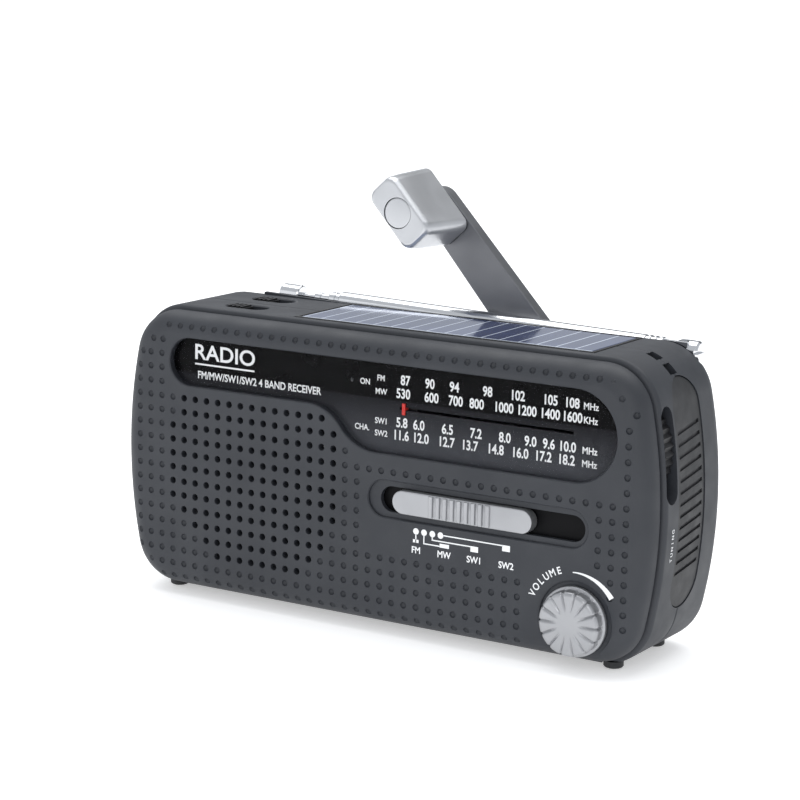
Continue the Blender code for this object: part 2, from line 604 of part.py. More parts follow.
def torch(clear, chrome, white):
    centre, inward = (0, 0, TORCH_Z), (1, 0, 0)
    lens = [(-81.6, 0), (-81.9, 6), (-81.2, 8.6), (-80.4, 8.9), (-79.6, 8.9), (-79.6, 0)]
    piece("torch_lens", clear, turned(lens, centre, inward, 28))
    bowl = [(-79.2, 8.3), (-76.0, 7.7), (-72.0, 5.6), (-69.6, 3.0), (-69.2, 1.9), (-67.2, 1.9),
            (-67.2, 4.2), (-70.4, 7.0), (-75.6, 8.9), (-79.2, 8.9)]
    piece("torch_reflector", chrome, turned(bowl, centre, inward, 28, ring=True))
    lamp = [(-71.4, 0), (-71.0, 1.0), (-70.0, 1.5), (-66.6, 1.5), (-66.6, 2.2), (-65.6, 2.2), (-65.6, 0)]
    piece("torch_lamp", white, turned(lamp, centre, inward, 16))


def solar_panel(dark, blue):
    x0, x1, y0, y1 = PANEL_LEFT, PANEL_RIGHT, PANEL_FRONT, PANEL_REAR
    bed = block((x0 + 1.0, y0 + 1.0, 79.0), (x1 - 1.0, y1 - 1.0, 81))
    piece("solar_frame", dark, block((x0, y0, 78.5), (x1, y1, 80.15)), cut=[bed])
    piece("solar_cell", blue, block((x0 + 1.3, y0 + 1.3, 79.3), (x1 - 1.3, y1 - 1.3, 80.05)))


def sockets(black, steel):
    """The three sockets behind the flap: earphones, power out and power in."""
    (ear, ear_z), (usb, usb_z), (power, power_z) = JACKS
    y, inward = FLAP_Y, (1, 0, 0)
    body = block((65.5, y - 4, ear_z - 3.6), (77.0, y + 3, ear_z + 3.6))
    barrel = rod((76.4, y, ear_z), 2.6, 2.2, inward)
    piece(ear, black, body, [barrel], [rod((66.5, y, ear_z), 1.8, 14, inward, 14)])
    shell = block((67.5, y - 1.9, usb_z - 3.9), (78.9, y + 1.9, usb_z + 3.9))
    hollow = [block((69, y - 1.5, usb_z - 3.4), (80, y - 0.4, usb_z + 3.4)),
              block((69, y + 0.4, usb_z - 3.4), (80, y + 1.5, usb_z + 3.4)),
              block((69, y - 1.5, usb_z - 3.4), (80, y + 1.5, usb_z - 2.2)),
              block((69, y - 1.5, usb_z + 2.2), (80, y + 1.5, usb_z + 3.4)),
              block((77.4, y - 1.5, usb_z - 3.4), (80, y + 1.5, usb_z + 3.4))]
    piece(usb, steel, shell, cut=hollow)
    body = block((65.5, y - 4, power_z - 4.2), (77.0, y + 3.2, power_z + 1.6))
    barrel = rod((76.4, y, power_z), 2.9, 2.4, inward)
    piece(power, black, body, [barrel], [tube((67, y, power_z), 2.0, 0.7, 14, inward, 14)])


def rubber_flap(rubber):
    """The moulded cover over the sockets, with a diagonal tread and plain ends."""
    top = FLAP_Z + FLAP_LENGTH / 2
    skin = cabinet_band(-12, 12, 0.25, FLAP_THICK, end_slot(FLAP_Y, FLAP_Z, FLAP_LENGTH, FLAP_WIDTH))
    y0, y1 = FLAP_Y - 6.2, FLAP_Y + 6.2
    grooves = []
    for n in range(13):
        z = FLAP_Z - 18.6 + 3.0 * n
        bar = [(y0, z - 1.6), (y1, z), (y1, z + 1.0), (y0, z - 0.6)]
        grooves.append(cabinet_band(-12, 12, -1.5, 0.75, bar))
    hinge_x = CORNER_X + math.sqrt(CORNER_RADIUS ** 2 - (top - MIDDLE_Z - CORNER_Z) ** 2)
    piece("rubber_flap", rubber, skin, cut=grooves, origin=(hinge_x, FLAP_Y, top))


# ---------------------------------------------------------------- crank and generator
def mesh_distance(stage):
    module, one, two = stage
    return module * (one + two) / 2


def polar(centre, distance, angle):
    return centre[0] + distance * math.cos(angle), centre[1] + distance * math.sin(angle)


def facing(angle, teeth):
    """The phase of a gear that turns a tooth gap towards the gear it meets."""
    return angle + math.pi + math.pi / teeth


def generator(silver, black, copper, steel, nylon):
    crank = (CRANK_X, CRANK_Z)
    middle = polar(crank, mesh_distance(STAGE_ONE), MESH_ONE)
    last = polar(middle, mesh_distance(STAGE_TWO), MESH_TWO)
    module, wheel_teeth, pinion_teeth = STAGE_ONE
    wheel = prism(gear_outline(crank, module, wheel_teeth, MESH_ONE), "Y", 14.6, 16.8)
    piece("drive_gear", nylon, wheel, cut=[rod((crank[0], 14, crank[1]), 3.3, 4)],
          origin=(crank[0], 15, crank[1]))
    pinion = gear_outline(middle, module, pinion_teeth, facing(MESH_ONE, pinion_teeth))
    module, wheel_teeth, pinion_teeth = STAGE_TWO
    wheel = gear_outline(middle, module, wheel_teeth, MESH_TWO)
    piece("compound_gear", nylon, prism(wheel, "Y", 11.4, 13.5),
          [prism(pinion, "Y", 13.3, 17.0), rod((middle[0], 9.8, middle[1]), 1.6, 2)],
          origin=(middle[0], 12, middle[1]))
    centre = (last[0], 0, last[1])
    can = [(-3.5, 0), (-3.5, 13), (9.3, 13), (9.3, 3.2), (8.2, 3.2), (8.2, 11.9), (-2.4, 11.9), (-2.4, 0)]
    piece("generator_housing", steel, turned(can, centre, sides=32))
    piece("generator_coil", copper, tube((last[0], -2.0, last[1]), 11.6, 9.6, 9.8, sides=28))
    spindle = [(-2.0, 0), (-2.0, 1.4), (-1.4, 9.3), (6.8, 9.3), (6.8, 1.4), (13.6, 1.4), (13.6, 0)]
    teeth = gear_outline(last, module, pinion_teeth, facing(MESH_TWO, pinion_teeth))
    piece("generator_rotor", black, turned(spindle, centre, sides=24), [prism(teeth, "Y", 11.3, 13.7)],
          origin=(last[0], 3, last[1]))
    holes = [rod((x, 9, z), r, 3) for (x, z), r in ((crank, 3.4), (middle, 1.9), (last, 1.8))]
    plate = block((9, PLATE_Y0, 13), (67, PLATE_Y1, 57))
    piece("gear_plate", silver, plate, cut=holes)


def crank_parts(silver, dark, steel):
    hub = (CRANK_X, 0, CRANK_Z)
    level = (math.sin(CRANK_ANGLE), 0, math.cos(CRANK_ANGLE))       # across the arm
    disc = turned([(9.9, 0), (9.9, 3.0), (18.7, 3.0), (18.7, 10), (21.0, 10), (21.5, 9.5), (21.5, 0)],
                  hub, sides=32)
    lugs, holes = [], []
    for side in (-1, 1):
        near, far = sorted((side * 5.0, side * 8.0))
        lugs.append(crank_shape([(-3.4, near), (3.4, near), (3.4, far), (-3.4, far)], 21.2, 26.6))
    pin_start = [h + d * -8.0 for h, d in zip((CRANK_X, HINGE_Y, CRANK_Z), level)]
    hole_start = [h + d * -9.0 for h, d in zip((CRANK_X, HINGE_Y, CRANK_Z), level)]
    holes.append(rod(hole_start, 1.5, 18, level, 16))
    piece("crank_rotor", dark, disc, lugs, holes, (CRANK_X, 20, CRANK_Z))
    piece("crank_hinge_pin", steel, rod(pin_start, 1.2, 16, level, 16))
    crank_arm(silver, level)
    crank_handle(silver)


def crank_arm(silver, level):
    """The folding arm: a round hinge root, a tapering bar and an end rounded about the knob."""
    start = [h + d * -4.7 for h, d in zip((CRANK_X, HINGE_Y, CRANK_Z), level)]
    root = rod(start, (ARM_Y1 - ARM_Y0) / 2, 9.4, level, 24)
    neck = crank_shape([(0, -4.7), (6.0, -4.7), (6.0, 4.7), (0, 4.7)], ARM_Y0, ARM_Y1)
    outline = [(4.4, -7.2), (5.0, -7.2), (CRANK_LENGTH, -5.3)]
    outline += arc((CRANK_LENGTH, 0), 5.3, -math.pi / 2, math.pi / 2, 12)[1:-1]
    outline += [(CRANK_LENGTH, 5.3), (5.0, 7.2), (4.4, 7.2)]
    smaller = [(a + (0.8 if a < 20 else 0.0) - (0.9 if a > CRANK_LENGTH else 0.0),
                b - math.copysign(min(1.1, abs(b)), b)) for a, b in outline]
    bar = loft([lift_crank(outline, ARM_Y0), lift_crank(outline, ARM_Y1 - 1.3),
                lift_crank(smaller, ARM_Y1)])
    x, z = crank_frame(CRANK_LENGTH, 0)
    spindle = rod((x, 8, z), 1.7, 15)
    hole = rod([h + d * -9 for h, d in zip((CRANK_X, HINGE_Y, CRANK_Z), level)], 1.5, 18, level, 16)
    head = rod((x, 6.4, z), 2.6, 1.8)
    piece("crank_arm", silver, root, [neck, bar, spindle, head], [hole], (CRANK_X, HINGE_Y, CRANK_Z))


def lift_crank(points, y):
    return lift([crank_frame(a, b) for a, b in points], "Y", y)


def crank_handle(silver):
    """The grip: a tapering block, its long side along the arm, with a round plug in its free end."""
    x, z = crank_frame(CRANK_LENGTH, 0)
    rings = []
    for y, half, high, low in ((21.5, 10.4, 5.25, 5.25), (8.0, 9.9, 5.25, 5.25), (3.2, 9.5, 5.25, 4.9),
                               (KNOB_Y, 8.8, 4.7, 4.2)):
        rings.append(lift_crank(rounded_block((CRANK_LENGTH, 0), half, high, low), y))
    bore = turned([(0, 0), (0, 4.2), (KNOB_Y + 2.8, 4.2), (KNOB_Y + 2.8, 3.0), (8.8, 3.0), (8.8, 2.1),
                   (23, 2.1), (23, 0)], (x, 0, z), sides=24)
    piece("crank_knob", silver, loft(rings), cut=[bore], origin=(x, 10, z))
    plug = turned([(0.1, 0), (0.1, 3.4), (0.6, 3.9), (2.4, 3.9), (2.4, 0)], (x, KNOB_Y, z), sides=24)
    piece("crank_knob_plug", silver, plug, origin=(x, 0, z))


def rounded_block(centre, half, high, low, corner=2.6):
    """A block outline with rounded corners, a little lower on one side."""
    x, z = centre
    points = []
    for sx, top, start in ((1, high, 0), (-1, high, 90), (-1, -low, 180), (1, -low, 270)):
        inner = (x + sx * (half - corner), z + math.copysign(abs(top) - corner, top))
        points += arc(inner, corner, math.radians(start), math.radians(start + 90), 4)
    return points


# ---------------------------------------------------------------- antenna
def along_rod(profile, sides=16, ring=False):
    """A turned piece of the antenna, measured from its hinge."""
    direction = (-math.cos(ROD_SLOPE), 0, math.sin(ROD_SLOPE))
    return turned(profile, (ROD_X, ROD_Y, ROD_Z), direction, sides, ring)


def antenna(chrome):
    hinge = (ROD_X, ROD_Y, ROD_Z)
    barrel = along_rod([(-5.8, 0), (-5.8, 2.3), (-5.4, 2.7), (-2.6, 2.7), (-2.6, 0)])
    forks = []
    for low, high in ((-2.5, -1.1), (1.1, 2.5)):
        forks.append(sloped_block(-3.0, 0.4, ROD_Y + low, ROD_Y + high, -2.3, 2.3))
        forks.append(rod((ROD_X, ROD_Y + low, ROD_Z), 2.3, high - low, sides=16))
    stem = block((ROD_X + 2.3, ROD_Y - 2.4, 68.8), (ROD_X + 5.6, ROD_Y + 1.5, ROD_Z - 0.6))
    slot = sloped_block(-6.2, -4.9, ROD_Y - 3, ROD_Y + 3, -0.5, 0.5)
    pin_hole = rod((ROD_X, ROD_Y - 4, ROD_Z), 0.95, 8, sides=12)
    piece("antenna_bracket", chrome, barrel, forks + [stem], [slot, pin_hole])
    piece("antenna_pin", chrome, rod((ROD_X, ROD_Y - 2.5, ROD_Z), 0.65, 5.0, sides=12))

    tongue = sloped_block(0, 4.8, ROD_Y - 0.8, ROD_Y + 0.8, -1.9, 1.9)
    eye = rod((ROD_X, ROD_Y - 0.8, ROD_Z), 1.9, 1.6, sides=16)
    knurl = [(4.5, 0), (4.5, 2.55)]
    for n in range(3):
        knurl += [(5.4 + 1.6 * n, 2.55), (5.6 + 1.6 * n, 2.3), (6.4 + 1.6 * n, 2.3), (6.6 + 1.6 * n, 2.55)]
    end = 104.0
    inner = TUBE_ONE - TUBE_WALL
    knurl += [(end, TUBE_ONE), (end, inner), (14.0, inner), (14.0, 0)]
    piece("antenna_tube_1", chrome, along_rod(knurl), [tongue, eye],
          [rod((ROD_X, ROD_Y - 4, ROD_Z), 0.95, 8, sides=12)], hinge)
    for number, radius, start, lip, finish in ((2, TUBE_TWO, 16.0, 2.15, 107.6),
                                               (3, TUBE_THREE, 18.0, 1.55, 112.6)):
        inner, ring_start = radius - TUBE_WALL, finish - 2.0
        section = [(start, inner), (start, radius), (ring_start, radius), (ring_start, lip),
                   (finish, lip), (finish, inner)]
        piece(f"antenna_tube_{number}", chrome, along_rod(section, ring=True))
    tip = [(20, 0), (20, 0.7), (117.4, 0.7), (117.4, 2.2), (117.9, 2.7), (123.4, 2.7), (124, 2.1), (124, 0)]
    piece("antenna_tip", chrome, along_rod(tip))


def main():
    for old in list(bpy.data.objects):
        bpy.data.objects.remove(old)
    charcoal = material("charcoal_plastic", (0.055, 0.057, 0.060), 0.55)
    black = material("black_plastic", (0.02, 0.02, 0.022), 0.45)
    silver = material("silver_paint", (0.52, 0.53, 0.55), 0.35, 0.6)
    chrome = material("chrome", (0.85, 0.85, 0.86), 0.1, 1.0)
    steel = material("steel", (0.55, 0.55, 0.56), 0.3, 1.0)
    brass = material("copper_wire", (0.65, 0.32, 0.15), 0.35, 1.0)
    clear = material("clear_plastic", (0.03, 0.035, 0.04), 0.08)
    red = material("red_plastic", (0.75, 0.05, 0.03), 0.4)
    rubber = material("rubber", (0.018, 0.018, 0.018), 0.75)
    board = material("circuit_board", (0.02, 0.14, 0.05), 0.5)
    nylon = material("white_nylon", (0.75, 0.74, 0.68), 0.45)
    paper = material("cone_paper", (0.06, 0.055, 0.05), 0.9)
    cell = material("solar_cell", (0.02, 0.03, 0.09), 0.2)
    sleeve = material("battery_sleeve", (0.05, 0.2, 0.08), 0.4)

    front_cover(charcoal)
    rear_cover(charcoal)
    feet(rubber)
    case_screws(steel)
    battery_door(charcoal)
    battery_pack(sleeve)
    dial_parts(clear, black, red, steel)
    band_selector(silver, black, board)
    volume_parts(silver, black)
    tuning_parts(black, board)
    top_switches(black, board)
    speaker(steel, black, paper)
    main_board(board)
    aerial_coil(black, brass)
    torch(clear, chrome, nylon)
    solar_panel(black, cell)
    sockets(black, steel)
    rubber_flap(rubber)
    generator(steel, black, brass, steel, nylon)
    crank_parts(silver, black, steel)
    antenna(chrome)


main()
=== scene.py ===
"""Looks for the emergency radio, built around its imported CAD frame.

Lengths below are millimetres in the drawing frame of the radio; metres() turns them into the
row frame.  +X is the radio's right end, -Y its front and +Z its top.
"""

import json
import math

import bmesh
import bpy
from mathutils import Matrix, Vector


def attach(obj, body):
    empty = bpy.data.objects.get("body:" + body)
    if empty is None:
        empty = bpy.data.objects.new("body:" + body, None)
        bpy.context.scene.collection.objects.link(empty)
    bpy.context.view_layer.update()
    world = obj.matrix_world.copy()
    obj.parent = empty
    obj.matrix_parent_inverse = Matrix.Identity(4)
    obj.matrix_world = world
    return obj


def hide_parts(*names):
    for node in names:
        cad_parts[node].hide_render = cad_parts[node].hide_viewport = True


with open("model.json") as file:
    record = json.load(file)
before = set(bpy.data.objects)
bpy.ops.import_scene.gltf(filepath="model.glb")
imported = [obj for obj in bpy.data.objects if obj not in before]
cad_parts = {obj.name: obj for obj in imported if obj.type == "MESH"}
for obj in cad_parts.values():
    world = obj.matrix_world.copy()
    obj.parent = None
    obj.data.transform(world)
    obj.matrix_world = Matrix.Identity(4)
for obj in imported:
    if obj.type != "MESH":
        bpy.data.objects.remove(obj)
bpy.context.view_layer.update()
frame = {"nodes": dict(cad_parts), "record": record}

DEPTH_SHIFT = -0.9

# -------------- dimensions shared with the CAD
HALF_WIDTH, TOP, BOTTOM = 82.5, 80.0, 0.9
END_RADIUS, CORNER_RADIUS = 132.0, 14.5
WALL, FACE_INSET, RIM_RADIUS, BACK_RADIUS = 3.6, 6.9, 5.6, 6.0
SEAM = 0.15
COLUMN_PITCH, ROW_PITCH = 3.75, 3.894
LATTICE_X, LATTICE_Z = -60.14, 24.375
WINDOW_TOP, WINDOW_STEP, WINDOW_BOTTOM = 71.95, 59.4, 48.75
WINDOW_LEFT, WINDOW_RIGHT, WINDOW_BEND = -64.8, 71.3, -20.0
DIAL_Z, DIAL_START = 60.5, 8.9
TUNING_X, TUNING_Z, TUNING_RADIUS = 65.2, 56.2, 16.0
SLIDE_X, SLIDE_Z, SLIDE_LENGTH, SLIDE_HEIGHT = 33.3, 36.55, 60.2, 6.9
CAP_X, CAP_LENGTH, CAP_HEIGHT = 28.3, 41.4, 6.3
VOLUME_X, VOLUME_Z, VOLUME_RADIUS = 61.5, 13.0, 9.1
PANEL_LEFT, PANEL_RIGHT, PANEL_FRONT, PANEL_REAR = -30.0, 60.0, -12.2, 15.3
CRANK_X, CRANK_Z, CRANK_LENGTH = 54.5, 40.3, 91.5
CRANK_ANGLE = math.radians(48)
ARM_Y0, ARM_Y1, HINGE_Y = 21.8, 26.8, 24.3
KNOB_Y = 1.4
ROD_X, ROD_Y, ROD_Z = 69.0, 18.9, 77.6
ROD_SLOPE = math.radians(1.3)
ROD_END = 124.0
POCKET_X, POCKET_Y = CRANK_X - CRANK_LENGTH, -2.4
FOOT_X, FOOT_Y, FOOT_RADIUS = 68.3, 11.8, 2.6
SCREWS = ((-72.5, 12.0), (72.5, 12.0), (-70.0, 69.0), (-14.0, 10.0))
FLAP_Y, FLAP_Z, FLAP_LENGTH, FLAP_WIDTH, FLAP_THICK = 0.6, 44.5, 59.0, 14.6, 1.6
SWITCHES = ((-49.5, -6.4), (-50.5, 7.6))
JACK_Z = (24.0, 33.5, 43.0)
TORCH_Z = 45.0
DOOR_LOW, DOOR_HIGH = (-68.0, 7.4), (-20.0, 29.6)
GAP = 0.3
FACE_Y, RIM_Y, RIM_EDGE = -21.0, -15.4, 1.25
RECESS_X = SLIDE_X - 1.3
PIN_BORE = 0.95

MIDDLE_Z = (TOP + BOTTOM) / 2
HALF_HEIGHT = (TOP - BOTTOM) / 2
END_X = HALF_WIDTH - END_RADIUS
CORNER_Z = HALF_HEIGHT - CORNER_RADIUS
CORNER_X = END_X + math.sqrt((END_RADIUS - CORNER_RADIUS) ** 2 - CORNER_Z ** 2)
CORNER_START = math.atan2(CORNER_Z, CORNER_X - END_X)
OUTLINE_STEPS, WINDOW_STEPS = 18, 24
QUARTER_TURN = [math.radians(9 * n) for n in range(11)]

# -------------- print and finish
FONT_SCALE = 1.37
PRINT_THICKNESS, PRINT_LIFT = 0.03, 0.02
DIAL_PRINT_Y = -18.5
PRINT_UNIT, PRINT_LEFT, PRINT_LOW = 0.9375, 64.15, 26
LEADER_HALF = 0.16
BEVEL_ANGLE, KEPT_BEVEL_ANGLE = math.radians(35), math.radians(38)
KEPT_BEVEL, WELD_REACH = 0.00018, 0.00001


# -------------- shape tools
def metres(point):
    x, y, z = point
    return Vector((x, y + DEPTH_SHIFT, z)) * 0.001


def mesh_of(vertices, faces):
    bm = bmesh.new()
    made = [bm.verts.new(metres(v)) for v in vertices]
    for face in faces:
        bm.faces.new([made[i] for i in face])
    bmesh.ops.recalc_face_normals(bm, faces=bm.faces)
    mesh = bpy.data.meshes.new("shape")
    bm.to_mesh(mesh)
    bm.free()
    return mesh


def joined(meshes):
    bm = bmesh.new()
    for mesh in meshes:
        bm.from_mesh(mesh)
    out = bpy.data.meshes.new("shape")
    bm.to_mesh(out)
    bm.free()
    return out


def loft(rings):
    count = len(rings[0])
    faces = [list(range(count)), list(range((len(rings) - 1) * count, len(rings) * count))]
    for r in range(len(rings) - 1):
        for i in range(count):
            j = (i + 1) % count
            a, b = r * count, (r + 1) * count
            faces.append([a + i, a + j, b + j, b + i])
    return mesh_of([p for ring in rings for p in ring], faces)


def lift(points, axis, level):
    order = {"X": lambda u, v: (level, u, v), "Y": lambda u, v: (u, level, v),
             "Z": lambda u, v: (u, v, level)}[axis]
    return [order(u, v) for u, v in points]


def prism(points, axis, start, end):
    return loft([lift(points, axis, start), lift(points, axis, end)])


def block(low, high):
    (x0, y0, z0), (x1, y1, z1) = low, high
    return prism([(x0, y0), (x1, y0), (x1, y1), (x0, y1)], "Z", z0, z1)


def arc(centre, radius, start, end, steps):
    turn = [start + (end - start) * i / steps for i in range(steps + 1)]
    return [(centre[0] + radius * math.cos(a), centre[1] + radius * math.sin(a)) for a in turn]


def stadium(centre, length, height, steps=16):
    radius, reach = height / 2, (length - height) / 2
    return (arc((centre[0] + reach, centre[1]), radius, -math.pi / 2, math.pi / 2, steps)
            + arc((centre[0] - reach, centre[1]), radius, math.pi / 2, 3 * math.pi / 2, steps))


def upright(points, centre):
    return [(centre[0] - (v - centre[1]), centre[1] + (u - centre[0])) for u, v in points]


def turned(profile, centre, direction=(0, 1, 0), sides=48, ring=False):
    """A turned solid from (distance along the axis, radius) pairs."""
    along = Vector(direction).normalized()
    side = along.orthogonal().normalized()
    other = along.cross(side)
    vertices, loops = [], []
    for distance, radius in profile:
        base = Vector(centre) + along * distance
        if radius < 1e-6:
            loops.append([len(vertices)] * sides)
            vertices.append(base)
            continue
        loops.append([len(vertices) + i for i in range(sides)])
        for i in range(sides):
            a = 2 * math.pi * i / sides
            vertices.append(base + (side * math.cos(a) + other * math.sin(a)) * radius)
    pairs = list(zip(loops, loops[1:])) + ([(loops[-1], loops[0])] if ring else [])
    faces = []
    for one, two in pairs:
        for i in range(sides):
            j = (i + 1) % sides
            corner = [one[i], one[j], two[j], two[i]]
            faces.append([c for n, c in enumerate(corner) if c not in corner[:n]])
    return mesh_of([tuple(v) for v in vertices], faces)


def rod(centre, radius, length, direction=(0, 1, 0), sides=48):
    return turned([(0, 0), (0, radius), (length, radius), (length, 0)], centre, direction, sides)


def rotated(mesh, pivot, axis, angle):
    at = metres(pivot)
    mesh.transform(Matrix.Translation(at) @ Matrix.Rotation(angle, 4, Vector(axis))
                   @ Matrix.Translation(-at))
    return mesh


def carved(mesh, steps):
    """A mesh after boolean steps, each a (kind, tool mesh) pair."""
    made = bpy.data.objects.new("guide", mesh)
    bpy.context.scene.collection.objects.link(made)
    tools = []
    for kind, tool in steps:
        other = bpy.data.objects.new("guide_tool", tool)
        bpy.context.scene.collection.objects.link(other)
        change = made.modifiers.new(kind, "BOOLEAN")
        change.operation, change.solver, change.object = kind, "EXACT", other
        tools.append(other)
    bpy.context.view_layer.update()
    graph = bpy.context.evaluated_depsgraph_get()
    shaped = bpy.data.meshes.new_from_object(made.evaluated_get(graph))
    for each in [made] + tools:
        bpy.data.objects.remove(each)
    return shaped


def flatter_faces(made):
    """Lets wide flat faces set the shading next to them."""
    weigh = made.modifiers.new("Weighted normals", "WEIGHTED_NORMAL")
    weigh.keep_sharp = True


def piece(name, mesh, finish, body, stands_for=(), bevel=0.0, sharp=32):
    """A visible piece of the radio that rides on a CAD body."""
    mesh.name = name
    mesh.materials.clear()
    mesh.materials.append(finish)
    made = bpy.data.objects.new(name, mesh)
    bpy.context.scene.collection.objects.link(made)
    if bevel:
        edge = made.modifiers.new("Bevel", "BEVEL")
        edge.width, edge.segments, edge.limit_method = bevel * 0.001, 3, "ANGLE"
        edge.angle_limit = BEVEL_ANGLE
    mesh.shade_smooth()
    mesh.set_sharp_from_angle(angle=math.radians(sharp))
    flatter_faces(made)
    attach(made, body)
    if stands_for:
        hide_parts(*stands_for)
    return made


# -------------- materials
class Shader:
    """A small helper for building node materials."""

    def __init__(self, name, colour, roughness, metallic=0.0):
        self.material = bpy.data.materials.new(name)
        self.material.use_nodes = True
        self.tree = self.material.node_tree
        self.surface = self.tree.nodes["Principled BSDF"]
        self.surface.inputs["Base Color"].default_value = (*colour, 1)
        self.surface.inputs["Roughness"].default_value = roughness
        self.surface.inputs["Metallic"].default_value = metallic
        self.place = self.tree.nodes.new("ShaderNodeTexCoord").outputs["Object"]

    def node(self, kind, **values):
        made = self.tree.nodes.new("ShaderNode" + kind)
        for key, value in values.items():
            if key in made.inputs:
                made.inputs[key].default_value = value
            else:
                setattr(made, key, value)
        return made

    def link(self, one, two):
        self.tree.links.new(one, two)

    def stretched(self, scale):
        made = self.node("Mapping")
        made.inputs["Scale"].default_value = scale
        self.link(self.place, made.inputs["Vector"])
        return made.outputs["Vector"]

    def noise(self, scale, detail=3.0, roughness=0.5, stretch=None):
        made = self.node("TexNoise", Scale=scale, Detail=detail, Roughness=roughness)
        self.link(self.stretched(stretch) if stretch else self.place, made.inputs["Vector"])
        return made.outputs["Fac"]

    def ramp(self, value, stops):
        made = self.node("ValToRGB")
        bar = made.color_ramp
        while len(bar.elements) < len(stops):
            bar.elements.new(0.5)
        for element, (at, colour) in zip(bar.elements, stops):
            element.position = at
            element.color = (*colour, 1)
        self.link(value, made.inputs["Fac"])
        return made.outputs["Color"]

    def varied(self, low, high, scale, detail=3.0, stretch=None):
        """Base colour that drifts between two colours."""
        colour = self.ramp(self.noise(scale, detail, stretch=stretch), [(0.3, low), (0.7, high)])
        self.link(colour, self.surface.inputs["Base Color"])

    def roughened(self, low, high, scale, stretch=None):
        value = self.ramp(self.noise(scale, 4.0, stretch=stretch), [(0.3, (low,) * 3), (0.7, (high,) * 3)])
        self.link(value, self.surface.inputs["Roughness"])

    def bumped(self, height, strength, distance):
        made = self.node("Bump", Strength=strength, Distance=distance)
        self.link(height, made.inputs["Height"])
        self.link(made.outputs["Normal"], self.surface.inputs["Normal"])


def moulded_plastic(name, low, high, rough=(0.5, 0.62), grain=2600.0, strength=0.22, shine=0.5):
    made = Shader(name, high, rough[1])
    made.surface.inputs["Specular IOR Level"].default_value = shine
    made.varied(low, high, 34.0)
    made.roughened(*rough, 120.0)
    made.bumped(made.noise(grain, 2.0), strength, 0.00006)
    return made.material


def silver_paint(name, low, high, rough=(0.3, 0.42)):
    """Painted plastic with fine metal flake."""
    made = Shader(name, high, rough[1], 0.75)
    made.varied(low, high, 60.0, 2.0)
    made.roughened(*rough, 90.0)
    made.bumped(made.noise(3200.0, 2.0), 0.04, 0.00004)
    made.surface.inputs["Coat Weight"].default_value = 0.15
    made.surface.inputs["Coat Roughness"].default_value = 0.2
    return made.material


def polished_metal(name, low, high, rough, stretch=(1, 40, 40)):
    made = Shader(name, high, rough[1], 1.0)
    made.varied(low, high, 300.0, stretch=stretch)
    made.roughened(*rough, 260.0, stretch)
    made.bumped(made.noise(900.0, 2.0, stretch=stretch), 0.05, 0.00002)
    return made.material


def clear_plastic(name, alpha, colour=(0.01, 0.01, 0.012), shine=0.5):
    made = Shader(name, colour, 0.06)
    made.surface.inputs["Specular IOR Level"].default_value = shine
    made.roughened(0.2, 0.28, 60.0)
    made.bumped(made.noise(40.0), 0.03, 0.0001)
    made.surface.inputs["Alpha"].default_value = alpha
    made.surface.inputs["IOR"].default_value = 1.49
    return made.material


def soft_rubber(name, low, high, rough=(0.55, 0.75)):
    made = Shader(name, high, rough[1])
    made.varied(low, high, 60.0)
    made.roughened(*rough, 200.0)
    made.bumped(made.noise(2200.0, 3.0), 0.25, 0.00008)
    return made.material


def dial_print(name):
    """The dial: black above, fading to smoky grey below."""
    made = Shader(name, (0.01, 0.01, 0.011), 0.3)
    split = made.node("SeparateXYZ")
    made.link(made.place, split.inputs["Vector"])
    span = made.node("MapRange")
    span.inputs["From Min"].default_value = 0.0485
    span.inputs["From Max"].default_value = 0.0720
    made.link(split.outputs["Z"], span.inputs["Value"])
    colour = made.ramp(span.outputs["Result"], [
        (0.0, (0.072, 0.075, 0.086)), (0.25, (0.048, 0.050, 0.057)), (0.585, (0.015, 0.015, 0.018)),
        (0.60, (0.0022, 0.0022, 0.0026))])
    speck = made.node("MixRGB", blend_type="MULTIPLY")
    speck.inputs["Fac"].default_value = 0.06
    made.link(colour, speck.inputs["Color1"])
    made.link(made.noise(500.0, 2.0), speck.inputs["Color2"])
    made.link(speck.outputs["Color"], made.surface.inputs["Base Color"])
    made.roughened(0.25, 0.4, 150.0)
    made.surface.inputs["Specular IOR Level"].default_value = 0.08
    return made.material


